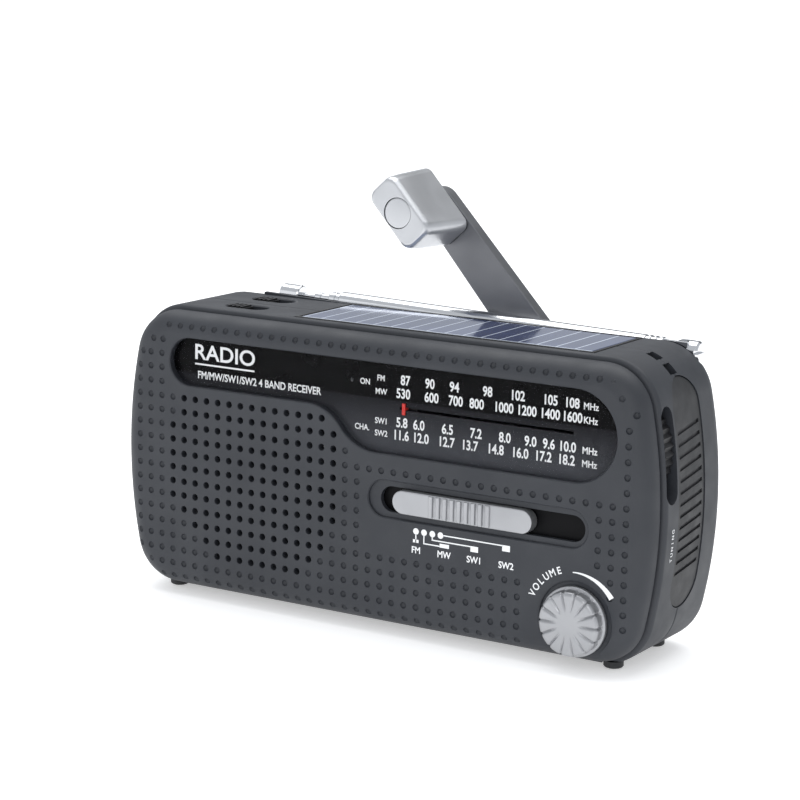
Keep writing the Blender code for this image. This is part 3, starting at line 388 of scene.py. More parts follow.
def solar_face(name):
    """Blue-black cells with thin bright collector lines and a busbar."""
    made = Shader(name, (0.02, 0.03, 0.09), 0.12)
    split = made.node("SeparateXYZ")
    made.link(made.place, split.inputs["Vector"])
    base = made.ramp(made.noise(70.0, 5.0), [(0.3, (0.010, 0.016, 0.060)), (0.7, (0.022, 0.034, 0.105))])

    def stripes(axis, pitch, offset, width):
        shifted = made.node("Math", operation="ADD")
        shifted.inputs[1].default_value = offset
        made.link(split.outputs[axis], shifted.inputs[0])
        wrapped = made.node("Math", operation="PINGPONG")
        wrapped.inputs[1].default_value = pitch / 2
        made.link(shifted.outputs[0], wrapped.inputs[0])
        inside = made.node("Math", operation="LESS_THAN")
        inside.inputs[1].default_value = width / 2
        made.link(wrapped.outputs[0], inside.inputs[0])
        return inside.outputs[0]

    fingers = stripes("X", 0.00545, 0.0008, 0.00042)
    busbar = stripes("Y", 0.0262, 0.0116, 0.0009)
    both = made.node("Math", operation="MAXIMUM")
    made.link(fingers, both.inputs[0])
    made.link(busbar, both.inputs[1])
    mix = made.node("MixRGB")
    mix.inputs["Color2"].default_value = (0.55, 0.60, 0.70, 1)
    made.link(both.outputs[0], mix.inputs["Fac"])
    made.link(base, mix.inputs["Color1"])
    made.link(mix.outputs["Color"], made.surface.inputs["Base Color"])
    made.roughened(0.06, 0.14, 90.0)
    made.surface.inputs["IOR"].default_value = 2.4
    made.surface.inputs["Specular Tint"].default_value = (0.62, 0.75, 1.0, 1)
    return made.material


# -------------- outlines
def cabinet_outline(inset):
    r, big = CORNER_RADIUS - inset, END_RADIUS - inset
    right = arc((END_X, 0), big, -CORNER_START, CORNER_START, OUTLINE_STEPS)
    upper = arc((CORNER_X, CORNER_Z), r, CORNER_START, math.pi / 2, OUTLINE_STEPS)[1:]
    lower = [(x, -z) for x, z in reversed(upper)]
    half = lower + right + upper
    other = [(-x, z) for x, z in reversed(half)]
    return [(x, z + MIDDLE_Z) for x, z in half + other]


def cabinet_ring(y, inset):
    return lift(cabinet_outline(inset), "Y", y)


def cabinet_band(y0, y1, outer, inner, window):
    """A skin of the cabinet between two insets, inside a window seen from the right end."""
    skin = loft([cabinet_ring(y0, outer), cabinet_ring(y1, outer)])
    core = loft([cabinet_ring(y0 - 1, inner), cabinet_ring(y1 + 1, inner)])
    return carved(skin, [("DIFFERENCE", core), ("INTERSECT", prism(window, "X", 60, 90))])


def window_outline(inset):
    """The dial window: round ends, and a soft step down to its deeper right part."""
    left, right = (WINDOW_TOP - WINDOW_STEP) / 2, (WINDOW_TOP - WINDOW_BOTTOM) / 2
    fall, run = WINDOW_STEP - WINDOW_BOTTOM, 21.5
    bend = 2 * math.atan2(fall, run)
    radius = run / 2 / math.sin(bend)
    quarter = math.pi / 2
    left_end = arc((WINDOW_LEFT + left, WINDOW_TOP - left), left - inset,
                   quarter, 3 * quarter, WINDOW_STEPS)
    inner_bend = arc((WINDOW_BEND, WINDOW_STEP - radius), radius + inset,
                     quarter, quarter - bend, WINDOW_STEPS)
    outer_bend = arc((WINDOW_BEND + run, WINDOW_BOTTOM + radius), radius - inset,
                     -quarter - bend, -quarter, WINDOW_STEPS)
    right_end = arc((WINDOW_RIGHT - right, WINDOW_TOP - right), right - inset,
                    -quarter, quarter, 2 * WINDOW_STEPS)
    return left_end + inner_bend + outer_bend[1:] + right_end


def inside_window(x, z, margin):
    if x < WINDOW_LEFT - margin or x > WINDOW_RIGHT + margin:
        return False
    floor = WINDOW_STEP if x < WINDOW_BEND else max(WINDOW_BOTTOM, WINDOW_STEP - (x - WINDOW_BEND) * 0.55)
    return floor - margin < z < WINDOW_TOP + margin


def face_depth(x, z):
    """Depth of the front surface: flat in the middle, rolling away over the rim."""
    edge = min(TOP - z, z - BOTTOM, END_RADIUS - math.hypot(abs(x) - END_X, z - MIDDLE_Z))
    if edge >= FACE_INSET:
        return FACE_Y
    slope = math.asin(min(1.0, (FACE_INSET - edge) / (FACE_INSET - RIM_EDGE)))
    return RIM_Y - RIM_RADIUS * math.cos(slope)


def end_surface(z):
    """How far out the bulging right end is at a height."""
    return END_X + math.sqrt(END_RADIUS ** 2 - (z - MIDDLE_Z) ** 2)


def end_slot(centre_y, centre_z, length, width, grow=0.0):
    centre = (centre_y, centre_z)
    return upright(stadium(centre, length + 2 * grow, width + 2 * grow), centre)


# -------------- the covers
OPEN_ROWS = {-3: (3, 10), -2: (2, 11), -1: (1, 12), 0: (0, 12), 7: (0, 13), 8: (0, 12)}
UPPER_PITS = {9: (-4, -3, -2, 36), 10: (-4, -3, -2, 36), 11: (-3.75, -3, -2, 35.2, 36.4),
              12: (-2.75, -1.9, 34.3, 35.4)}
UPPER_PITCH = 3.9
TOP_PITS, TOP_PITS_LEFT, TOP_PITS_Z, TOP_PITCH = 37, -65.5, 75.4, 3.76


def open_columns(row):
    first, last = OPEN_ROWS.get(row, (-1, 13))
    return range(first, last + 1)


def open_holes():
    return [(LATTICE_X + c * COLUMN_PITCH, LATTICE_Z + r * ROW_PITCH)
            for r in range(-3, 9) for c in open_columns(r)]


def pit_columns(row):
    """Columns of the lattice where a row of the face has a shallow pit."""
    left = {-5: range(-2, 29), -4: range(-3, 29)}.get(row)
    if left:
        return list(left) + ([35] if row == -4 else [])
    opened = open_columns(row)
    right = {0: range(13, 16), 5: range(14, 34), 6: (14, 33), 7: (), 8: ()}.get(
        row, (14, 15) if row > 0 else range(opened[-1] + 1, 29))
    edge = (36,) if row == 8 else ((34, 35, 36) if 1 <= row <= 6 else (35, 36))
    return list(range(-4, opened[0])) + list(right) + list(edge)


def pits():
    """Shallow pits that carry the speaker's pattern over the whole face."""
    found = [(LATTICE_X + c * COLUMN_PITCH, LATTICE_Z + r * ROW_PITCH)
             for r in range(-5, 9) for c in pit_columns(r)]
    found += [(LATTICE_X + c * COLUMN_PITCH, LATTICE_Z + r * UPPER_PITCH)
              for r, columns in UPPER_PITS.items() for c in columns]
    found += [(TOP_PITS_LEFT + TOP_PITCH * i, TOP_PITS_Z) for i in range(TOP_PITS)]
    clear = []
    for x, z in found:
        slider = abs(x - RECESS_X) < 33.6 and abs(z - SLIDE_Z) < 6.2
        knob = math.hypot(x - VOLUME_X, z - VOLUME_Z) < VOLUME_RADIUS + 2.2
        if not (slider or knob or inside_window(x, z, 1.3)):
            clear.append((x, z))
    return clear


def pit_tool(x, z):
    y = face_depth(x, z)
    return turned([(y - 0.9, 0), (y - 0.9, 1.0), (y + 0.02, 0.92), (y + 0.4, 0.78), (y + 0.62, 0.4),
                   (y + 0.68, 0)], (x, 0, z), sides=12)


def hole_tool(x, z):
    return turned([(-22.2, 0), (-22.2, 1.35), (-21.0, 0.98), (-20.75, 0.85), (-17.0, 0.85), (-17.0, 0)],
                  (x, 0, z), sides=16)


def soft_recess(outline, y_front, y_floor, lip):
    """A cutter whose mouth flares a little, so that the recess has a soft lip."""
    grown, plain = outline(lip), outline(0.0)
    return loft([lift(grown, "Y", -23), lift(grown, "Y", y_front - 0.02), lift(plain, "Y", y_front + lip),
                 lift(plain, "Y", y_floor)])


def strap_slot(angle_deg):
    middle = (CORNER_X, 0, CORNER_Z + MIDDLE_Z)
    hole = block((CORNER_X + 8, -2.2, middle[2] - 1.7), (CORNER_X + 17, 1.5, middle[2] + 1.7))
    return rotated(hole, middle, (0, 1, 0), -math.radians(angle_deg))


def flap_recess():
    slot = end_slot(FLAP_Y, FLAP_Z, FLAP_LENGTH, FLAP_WIDTH, GAP)
    return cabinet_band(-12, 12, -1.5, FLAP_THICK + 0.4, slot)


def switch_cuts(x, y):
    mouth = loft([lift(stadium((x, y), 13.0 + g, 6.2 + g), "Z", z)
                  for z, g in ((78.3, 0.0), (79.7, 0.0), (80.05, 0.7), (82, 0.7))])
    return [mouth, block((x - 5, y - 1.1, 74), (x + 3.4, y + 1.1, 79))]


def end_holes():
    earphone = rod((70, FLAP_Y, JACK_Z[0]), 2.9, 14, (1, 0, 0))
    usb = block((70, FLAP_Y - 2.2, JACK_Z[1] - 4.2), (84, FLAP_Y + 2.2, JACK_Z[1] + 4.2))
    power = rod((70, FLAP_Y, JACK_Z[2]), 3.2, 14, (1, 0, 0))
    return [earphone, usb, power] + [strap_slot(a) for a in (67.0, 46.5)]


def end_recesses():
    bed = block((PANEL_LEFT - GAP, PANEL_FRONT - GAP, 78.2), (PANEL_RIGHT + GAP, PANEL_REAR + GAP, 82))
    return [rod((-84, 0, TORCH_Z), 9.3, 9, (1, 0, 0), 64), bed, flap_recess()]


def foot_wells(side_y):
    return [rod((s * FOOT_X, side_y, -1), FOOT_RADIUS + GAP, 3.2, (0, 0, 1)) for s in (-1, 1)]


def front_cover(finish):
    rim = [(RIM_Y - RIM_RADIUS * math.cos(a), FACE_INSET - (FACE_INSET - RIM_EDGE) * math.sin(a))
           for a in QUARTER_TURN]
    outer = rim + [(-15.1, RIM_EDGE), (-14.98, 1.5), (-14.9, 2.1), (-14.2, 2.1), (-14.1, 1.1), (-13.9, 0.6),
                   (-13.6, 0.28), (-13.2, 0.08), (-12.8, 0.0), (-SEAM - 0.3, 0.0), (-SEAM, 0.25)]
    inner = [(-SEAM, WALL), (-16.2, WALL), (-18.8, FACE_INSET - 0.5)]
    shell = loft([cabinet_ring(y, inset) for y, inset in outer + inner])
    posts = [rod((x, -19.5, z), 3.2, 19.0) for x, z in SCREWS]
    slide = (RECESS_X, SLIDE_Z)
    recesses = [hole_tool(x, z) for x, z in open_holes()] + [pit_tool(x, z) for x, z in pits()]
    recesses += [
        soft_recess(lambda grow: window_outline(-GAP - grow), FACE_Y, -17, 0.3),
        soft_recess(lambda grow: stadium(slide, 64.7 + 2 * grow, 9.9 + 2 * grow, 24), FACE_Y, -20.2, 0.3),
        turned([(-23, 0), (-23, 10.75), (-21.02, 10.7), (-20.7, 10.2), (-20.3, 10.2), (-20.3, 0)],
               (VOLUME_X, 0, VOLUME_Z), sides=96),
        prism(end_slot(-10.7, TUNING_Z, 24.6, 5.7), "X", 71, 90),
    ]
    recesses += foot_wells(-FOOT_Y) + end_recesses()
    recess, slot = switch_cuts(*SWITCHES[0])
    through = [prism(stadium((SLIDE_X, SLIDE_Z), SLIDE_LENGTH, SLIDE_HEIGHT), "Y", -23, -17),
               rod((VOLUME_X, -23, VOLUME_Z), 4.0, 6), slot] + end_holes()
    through += [rod((x, -16, z), 1.0, 18, sides=16) for x, z in SCREWS]
    through.append(rod((TUNING_X, -13.5, TUNING_Z), TUNING_RADIUS + 0.4, 5.6, sides=72))
    shaped = carved(shell, [("UNION", joined(posts)), ("DIFFERENCE", joined(recesses + [recess])),
                            ("DIFFERENCE", joined(through))])
    piece("front_cover_look", shaped, finish, "cabinet", ["front_cover"], sharp=40)


def rod_point(distance, up):
    """A point along the sloping antenna, measured from its hinge."""
    c, s = math.cos(ROD_SLOPE), math.sin(ROD_SLOPE)
    return ROD_X - distance * c + up * s, ROD_Y, ROD_Z + distance * s + up * c


def sloped_block(start, end, y0, y1, low, high):
    corners = [rod_point(start, low), rod_point(end, low), rod_point(end, high), rod_point(start, high)]
    return prism([(x, z) for x, _, z in corners], "Y", y0, y1)


def rear_cover(finish):
    curve = [(15.0 + BACK_RADIUS * math.cos(a), BACK_RADIUS * (1 - math.sin(a)))
             for a in QUARTER_TURN]
    outer = curve + [(SEAM + 0.3, 0.0), (SEAM, 0.25)]
    inner = [(SEAM, WALL), (15.6, WALL), (18.4, 6.5)]
    shell = loft([cabinet_ring(y, inset) for y, inset in outer + inner])
    trough = sloped_block(-3.0, ROD_END + 3.5, 14.6, 20.3, -4.6, 0.2)
    well = block((POCKET_X - 13.2, POCKET_Y - 1.3, CRANK_Z - 8.7),
                 (POCKET_X + 13.2, 19.5, CRANK_Z + 8.7))
    posts = [rod((x, 0.5, z), 3.9, 18.5) for x, z in SCREWS]
    posts += [rod((x, 11.0, z), 2.4, 8) for x, z in ((62.0, 19.0), (14.0, 51.0), (14.0, 16.5))]
    recesses = [
        sloped_block(-16.0, ROD_END + 34, 16.0, 24, -2.9, 9),
        block((POCKET_X - 11.7, POCKET_Y, CRANK_Z - 7.2), (POCKET_X + 11.7, 23, CRANK_Z + 7.2)),
        rod((CRANK_X, 12, CRANK_Z), 10.4, 12, sides=96),
        block((DOOR_LOW[0] - GAP, 15, DOOR_LOW[1] - GAP), (DOOR_HIGH[0] + GAP, 23, DOOR_HIGH[1] + GAP)),
    ]
    recesses += [rod((x, 16.6, z), 3.1, 6) for x, z in SCREWS] + foot_wells(FOOT_Y) + end_recesses()
    recess, slot = switch_cuts(*SWITCHES[1])
    through = [rod((x, -1, z), 1.6, 19) for x, z in SCREWS] + end_holes() + [slot]
    shaped = carved(shell, [("UNION", joined([trough, well] + posts)),
                            ("DIFFERENCE", joined(recesses + [recess])), ("DIFFERENCE", joined(through))])
    piece("rear_cover_look", shaped, finish, "cabinet", ["rear_cover"], sharp=40)


def feet(finish):
    for name, x, y in (("foot_front_left", -1, -1), ("foot_front_right", 1, -1),
                       ("foot_rear_left", -1, 1), ("foot_rear_right", 1, 1)):
        profile = [(0, 0), (0, 1.9), (0.15, 2.3), (0.5, FOOT_RADIUS), (1.9, FOOT_RADIUS), (1.9, 0)]
        shape = turned(profile, (x * FOOT_X, y * FOOT_Y, 0), (0, 0, 1), 40)
        piece(name + "_look", shape, finish, "cabinet", [name])


def case_screws(finish):
    for number, (x, z) in enumerate(SCREWS, 1):
        profile = [(-24, 0), (-24, 0.7), (2.0, 0.7), (2.0, 2.5), (2.4, 2.6), (3.2, 2.35), (3.6, 1.8),
                   (3.8, 1.0), (3.85, 0)]
        bar = [block((x - 1.6, 18.0, z - 0.3), (x + 1.6, 19.4, z + 0.3)),
               block((x - 0.3, 18.0, z - 1.6), (x + 0.3, 19.4, z + 1.6))]
        shape = carved(turned(profile, (x, 15, z), sides=40), [("DIFFERENCE", b) for b in bar])
        piece(f"case_screw_{number}_look", shape, finish, "cabinet", [f"case_screw_{number}"])


# -------------- controls
def dial_window(clear, dial):
    lens = loft([lift(window_outline(0.0), "Y", -19.4), lift(window_outline(0.0), "Y", -20.35),
                 lift(window_outline(0.22), "Y", -20.55), lift(window_outline(0.5), "Y", -20.6)])
    slot = block((DIAL_START - 1.4, -19, DIAL_Z - 0.45), (DIAL_START + 49.4, -17, DIAL_Z + 0.45))
    plate = carved(prism(window_outline(-1.1), "Y", -18.45, -17.5), [("DIFFERENCE", slot)])
    piece("dial_plate_look", plate, dial, "cabinet", ["dial_plate"])
    piece("dial_lens_look", lens, clear, "cabinet", ["dial_lens"], sharp=10)


def dial_pointer(red, black):
    """The red blade that shows through the window, on a black carriage behind the dial."""
    x = DIAL_START
    neck = block((x - 0.4, -18.8, DIAL_Z - 0.35), (x + 0.4, -17.0, DIAL_Z + 0.35))
    blade = block((x - 0.45, -19.1, DIAL_Z - 1.5), (x + 0.45, -18.75, DIAL_Z + 1.5))
    piece("dial_pointer_look", carved(blade, [("UNION", neck)]), red, "dial_pointer", ["dial_pointer"])
    carriage = carved(block((x - 3, -17.2, DIAL_Z - 1.6), (x + 3, -15.3, DIAL_Z + 1.6)),
                      [("DIFFERENCE", rod((x - 4, -16.3, DIAL_Z), 0.8, 8, (1, 0, 0), 32))])
    piece("pointer_carriage_look", carriage, black, "dial_pointer", bevel=0.15)


def band_slider(finish):
    rings = [lift(stadium((CAP_X, SLIDE_Z), CAP_LENGTH + 2 * grow, CAP_HEIGHT + 2 * grow, 20), "Y", y)
             for y, grow in ((-19.0, 0.0), (-21.55, 0.0), (-21.8, -0.12), (-21.9, -0.4))]
    low, high = SLIDE_Z - CAP_HEIGHT / 2 + 0.35, SLIDE_Z + CAP_HEIGHT / 2 - 0.35
    ribs = []
    for n in range(9):
        x = CAP_X - 8.9 + 2.1 * n
        profile = [(x - 0.78, -21.5), (x - 0.62, -22.2), (x - 0.4, -22.5), (x, -22.6), (x + 0.4, -22.5),
                   (x + 0.62, -22.2), (x + 0.78, -21.5)]
        ribs.append(prism(profile, "Z", low, high))
    stem = block((CAP_X - 1.5, -19.5, SLIDE_Z - 0.9), (CAP_X + 1.5, -14.2, SLIDE_Z + 0.9))
    shaped = carved(loft(rings), [("UNION", joined(ribs)), ("UNION", stem)])
    piece("band_slider_look", shaped, finish, "band_slider", ["band_slider"], sharp=40)


def volume_knob(finish):
    """A round knob with fourteen finger grooves that fade out before its middle."""
    grooves, share = 14, 18

    def ring(radius, y, scallop, dip):
        points = []
        for i in range(grooves * share):
            a = 2 * math.pi * i / (grooves * share)
            off = (i % share) / share
            off = min(off, 1 - off) * 2 * math.pi / grooves * max(radius, 0.5)
            notch = math.exp(-(off / 0.28) ** 2)
            r = radius - scallop * notch
            points.append((VOLUME_X + r * math.cos(a), y + dip * notch, VOLUME_Z + r * math.sin(a)))
        return points

    front = [(0.3, -24.86, 0, 0), (2.2, -24.88, 0, 0), (3.0, -24.9, 0, 0), (3.5, -24.92, 0, 0.1),
             (4.2, -24.95, 0, 0.3), (5.5, -24.98, 0, 0.42), (7.2, -25.0, 0.05, 0.45),
             (7.7, -24.92, 0.15, 0.45), (8.05, -24.7, 0.3, 0.35), (8.3, -24.4, 0.4, 0.2),
             (8.42, -23.9, 0.45, 0), (8.45, -22.1, 0.45, 0), (8.5, -22.0, 0, 0), (8.95, -21.95, 0, 0),
             (9.1, -21.8, 0, 0), (9.1, -20.7, 0, 0), (9.0, -20.6, 0, 0), (2.6, -20.6, 0, 0),
             (2.5, -20.5, 0, 0), (2.5, -13.0, 0, 0)]
    shaped = loft([ring(*values) for values in front])
    piece("volume_knob_look", shaped, finish, "volume_knob", ["volume_knob"], sharp=50)


def rubber_flap(finish):
    """The socket cover: a thick soft-edged strip with a diagonal tread and plain ends."""
    outline = end_slot(FLAP_Y, FLAP_Z, FLAP_LENGTH, FLAP_WIDTH)
    skin = cabinet_band(-12, 12, 0.25, FLAP_THICK, outline)
    y0, y1 = FLAP_Y - 6.2, FLAP_Y + 6.2
    grooves = []
    for n in range(13):
        z = FLAP_Z - 18.6 + 3.0 * n
        bar = [(y0, z - 1.6), (y1, z), (y1, z + 1.0), (y0, z - 0.6)]
        grooves.append(cabinet_band(-12, 12, -1.5, 0.75, bar))
    shaped = carved(skin, [("DIFFERENCE", joined(grooves))])
    piece("rubber_flap_look", shaped, finish, "rubber_flap", ["rubber_flap"], bevel=0.22)


# -------------- crank
def crank_frame(along, across):
    c, s = math.cos(CRANK_ANGLE), math.sin(CRANK_ANGLE)
    return CRANK_X - along * c + across * s, CRANK_Z + along * s + across * c


def lift_crank(points, y):
    return lift([crank_frame(a, b) for a, b in points], "Y", y)


def crank_shape(points, y0, y1):
    return loft([lift_crank(points, y0), lift_crank(points, y1)])


def rounded_block(centre, half, high, low, corner=2.6):
    x, z = centre
    points = []
    for sx, top, start in ((1, high, 0), (-1, high, 90), (-1, -low, 180), (1, -low, 270)):
        inner = (x + sx * (half - corner), z + math.copysign(abs(top) - corner, top))
        points += arc(inner, corner, math.radians(start), math.radians(start + 90), 12)
    return points


def crank(bright, grey, steel):
    """Rotor, folding arm, spinning knob with its plug, and the arm's hinge pin."""
    hub = (CRANK_X, 0, CRANK_Z)
    level = (math.sin(CRANK_ANGLE), 0, math.cos(CRANK_ANGLE))
    at = (CRANK_X, HINGE_Y, CRANK_Z)
    disc = turned([(9.9, 0), (9.9, 3.0), (18.7, 3.0), (18.7, 9.8), (18.9, 10), (21.0, 10), (21.4, 9.8),
                   (21.5, 9.4), (21.5, 0)], hub, sides=96)
    lugs = []
    for side in (-1, 1):
        near, far = sorted((side * 5.0, side * 8.0))
        lugs.append(crank_shape([(-3.4, near), (3.4, near), (3.4, far), (-3.4, far)], 21.2, 26.6))
    hole = rod([h + d * -9.0 for h, d in zip(at, level)], 1.5, 18, level, 32)
    shaped = carved(disc, [("UNION", joined(lugs)), ("DIFFERENCE", hole)])
    piece("crank_rotor_look", shaped, grey, "crank_rotor", ["crank_rotor"], bevel=0.25)

    root = rod([h + d * -4.7 for h, d in zip(at, level)], (ARM_Y1 - ARM_Y0) / 2, 9.4, level, 64)
    neck = crank_shape([(0, -4.7), (6.0, -4.7), (6.0, 4.7), (0, 4.7)], ARM_Y0, ARM_Y1)
    x, z = crank_frame(CRANK_LENGTH, 0)

    def bar_outline(inset):
        tip = arc((CRANK_LENGTH, 0), 5.3 - inset, -math.pi / 2, math.pi / 2, 40)
        low, high = inset - 7.2, 7.2 - inset
        return ([(4.4 + inset, low), (5.2 + inset, low)] + tip
                + [(5.2 + inset, high), (4.4 + inset, high)])

    levels = [(ARM_Y0, 0.25), (ARM_Y0 + 0.25, 0.0), (ARM_Y1 - 1.35, 0.0), (ARM_Y1 - 0.15, 0.95),
              (ARM_Y1, 1.2)]
    bar = loft([lift_crank(bar_outline(inset), y) for y, inset in levels])
    spindle = turned([(6.4, 0), (6.4, 2.6), (8.2, 2.6), (8.2, 1.7), (23, 1.7), (23, 0)], (x, 0, z), sides=48)
    shaped = carved(bar, [("UNION", neck), ("UNION", root), ("UNION", spindle), ("DIFFERENCE", hole)])
    piece("crank_arm_look", shaped, grey, "crank_arm", ["crank_arm"], sharp=30)

    levels = ((21.5, 10.1, 4.95, 4.95), (21.2, 10.4, 5.25, 5.25), (8.0, 9.9, 5.25, 5.25),
              (3.6, 9.6, 5.2, 5.0), (2.6, 9.45, 5.1, 4.8), (2.0, 9.2, 4.95, 4.6),
              (1.55, 8.85, 4.65, 4.25), (KNOB_Y, 8.4, 4.2, 3.8))
    rings = [lift_crank(rounded_block((CRANK_LENGTH, 0), half, high, low), y)
             for y, half, high, low in levels]
    bore = turned([(0, 0), (0, 4.2), (4.2, 4.2), (4.2, 3.0), (8.8, 3.0), (8.8, 2.1), (23, 2.1), (23, 0)],
                  (x, 0, z), sides=64)
    piece("crank_knob_look", carved(loft(rings), [("DIFFERENCE", bore)]), bright, "crank_knob",
          ["crank_knob"], bevel=0.15)
    plug = turned([(0.1, 0), (0.12, 3.6), (0.25, 3.95), (0.5, 4.1), (2.4, 4.1), (2.4, 0)],
                  (x, KNOB_Y, z), sides=64)
    piece("crank_knob_plug_look", plug, bright, "crank_knob", ["crank_knob_plug"])
    pin = turned([(-8, 0), (-8, 0.9), (-7.7, 1.2), (7.7, 1.2), (8, 0.9), (8, 0)], at, level, 40)
    piece("crank_hinge_pin_look", pin, steel, "crank_rotor", ["crank_hinge_pin"])


# -------------- antenna
def along_rod(profile, sides=56, ring=False):
    direction = (-math.cos(ROD_SLOPE), 0, math.sin(ROD_SLOPE))
    return turned(profile, (ROD_X, ROD_Y, ROD_Z), direction, sides, ring)


def antenna(chrome):
    barrel = along_rod([(-5.8, 0), (-5.8, 2.2), (-5.3, 2.7), (-2.8, 2.7), (-2.6, 2.5), (-2.6, 0)])
    forks = []
    for low, high in ((-2.5, -1.1), (1.1, 2.5)):
        forks.append(sloped_block(-3.0, 0.4, ROD_Y + low, ROD_Y + high, -2.3, 2.3))
        forks.append(rod((ROD_X, ROD_Y + low, ROD_Z), 2.3, high - low))
    stem = block((ROD_X + 2.3, ROD_Y - 2.4, 73.5), (ROD_X + 5.0, ROD_Y + 1.5, ROD_Z - 0.6))
    slot = sloped_block(-6.2, -4.9, ROD_Y - 3, ROD_Y + 3, -0.5, 0.5)
    pin_hole = rod((ROD_X, ROD_Y - 4, ROD_Z), PIN_BORE, 8, sides=32)
    steps = [("UNION", f) for f in forks + [stem]] + [("DIFFERENCE", slot), ("DIFFERENCE", pin_hole)]
    piece("antenna_bracket_look", carved(barrel, steps), chrome, "cabinet", ["antenna_bracket"],
          bevel=0.2)
    pin = turned([(0, 0), (0, 0.45), (0.2, 0.65), (4.8, 0.65), (5, 0.45), (5, 0)],
                 (ROD_X, ROD_Y - 2.5, ROD_Z), sides=32)
    piece("antenna_pin_look", pin, chrome, "cabinet", ["antenna_pin"])

    tongue = sloped_block(0, 4.8, ROD_Y - 0.8, ROD_Y + 0.8, -1.9, 1.9)
    eye = rod((ROD_X, ROD_Y - 0.8, ROD_Z), 1.9, 1.6)
    knurl = [(4.5, 0), (4.5, 2.35), (4.7, 2.55)]
    for n in range(3):
        knurl += [(5.4 + 1.6 * n, 2.55), (5.65 + 1.6 * n, 2.3), (6.35 + 1.6 * n, 2.3), (6.6 + 1.6 * n, 2.55)]
    knurl += [(103.8, 2.55), (104.0, 2.4), (104.0, 2.25), (14.0, 2.25), (14.0, 0)]
    shaped = carved(along_rod(knurl), [("UNION", tongue), ("UNION", eye), ("DIFFERENCE", pin_hole)])
    piece("antenna_tube_1_look", shaped, chrome, "antenna_tube_1", ["antenna_tube_1"], sharp=25)
    for number, radius, start, lip, finish in ((2, 1.9, 16.0, 2.15, 107.6), (3, 1.3, 18.0, 1.55, 112.6)):
        inner, ring_start = radius - 0.3, finish - 2.0
        section = [(start, inner), (start, radius), (ring_start, radius), (ring_start, lip - 0.1),
                   (ring_start + 0.15, lip), (finish - 0.25, lip), (finish, lip - 0.2), (finish, inner)]
        name = f"antenna_tube_{number}"
        piece(name + "_look", along_rod(section, ring=True), chrome, name, [name], sharp=25)
    tip = [(20, 0), (20, 0.7), (117.4, 0.7), (117.4, 2.3), (117.55, 2.55), (117.8, 2.7), (123.2, 2.7),
           (123.6, 2.55), (123.85, 2.2), (124, 1.6), (124, 0)]
    piece("antenna_tip_look", along_rod(tip), chrome, "antenna_tip", ["antenna_tip"], sharp=25)


# -------------- torch
def torch(clear, chrome, white):
    centre, inward = (0, 0, TORCH_Z), (1, 0, 0)
    lens = [(-81.75, 0), (-81.9, 3), (-81.88, 6), (-81.6, 7.8), (-81.2, 8.6), (-80.6, 8.9), (-79.6, 8.9),
            (-79.6, 0)]
    piece("torch_lens_look", turned(lens, centre, inward, 80), clear, "cabinet", ["torch_lens"])
    bowl = [(-79.2, 8.5), (-77.8, 8.25), (-76.0, 7.7), (-74.0, 6.8), (-72.0, 5.6), (-70.4, 4.2),
            (-69.6, 3.0), (-69.2, 1.9), (-67.2, 1.9), (-67.2, 4.2), (-70.4, 7.0), (-75.6, 8.9), (-79.2, 8.9)]
    piece("torch_reflector_look", turned(bowl, centre, inward, 80, ring=True), chrome, "cabinet",
          ["torch_reflector"])
    lamp = [(-71.4, 0), (-71.35, 0.5), (-71.0, 1.1), (-70.0, 1.5), (-66.6, 1.5), (-66.6, 2.2),
            (-65.6, 2.2), (-65.6, 0)]
    piece("torch_lamp_look", turned(lamp, centre, inward, 40), white, "cabinet", ["torch_lamp"])


# -------------- printed marks
def letters(text, height, bold, squeeze):
    """Flat lettering as a mesh in millimetres, centred on its own middle, in the x-z plane."""
    curve = bpy.data.curves.new("guide_text", "FONT")
    curve.body, curve.align_x, curve.align_y = text, "CENTER", "CENTER"
    curve.size, curve.offset, curve.resolution_u = height * FONT_SCALE, bold, 4
    made = bpy.data.objects.new("guide_text", curve)
    bpy.context.scene.collection.objects.link(made)
    bpy.context.view_layer.update()
    mesh = bpy.data.meshes.new_from_object(made.evaluated_get(bpy.context.evaluated_depsgraph_get()))
    bpy.data.objects.remove(made)
    bm = bmesh.new()
    bm.from_mesh(mesh)
    for v in bm.verts:
        v.co = Vector((v.co.x * squeeze, 0.0, v.co.y))
    bm.to_mesh(mesh)
    bm.free()
    return mesh


def printed(mesh, x, y, z, turn=0.0, facing_end=False):
    """Sets flat lettering at a point of the face, or on the right end of the cabinet."""
    place = Matrix.Translation(Vector((x, y, z)))
    if facing_end:
        place = place @ Matrix.Rotation(math.pi / 2, 4, "Z")
    place = place @ Matrix.Rotation(turn, 4, "Y")
    mesh.transform(Matrix.Scale(0.001, 4) @ Matrix.Translation((0, DEPTH_SHIFT, 0)) @ place)
    return mesh


def mark(points, y):
    return prism(points, "Y", y - PRINT_THICKNESS, y)


def strip(x0, z0, x1, z1, y):
    return mark([(x0, z0), (x1, z0), (x1, z1), (x0, z1)], y)


def scale_x(unit):
    return PRINT_UNIT * (unit - PRINT_LEFT)


def scale_z(unit):
    return PRINT_UNIT * (unit + PRINT_LOW)


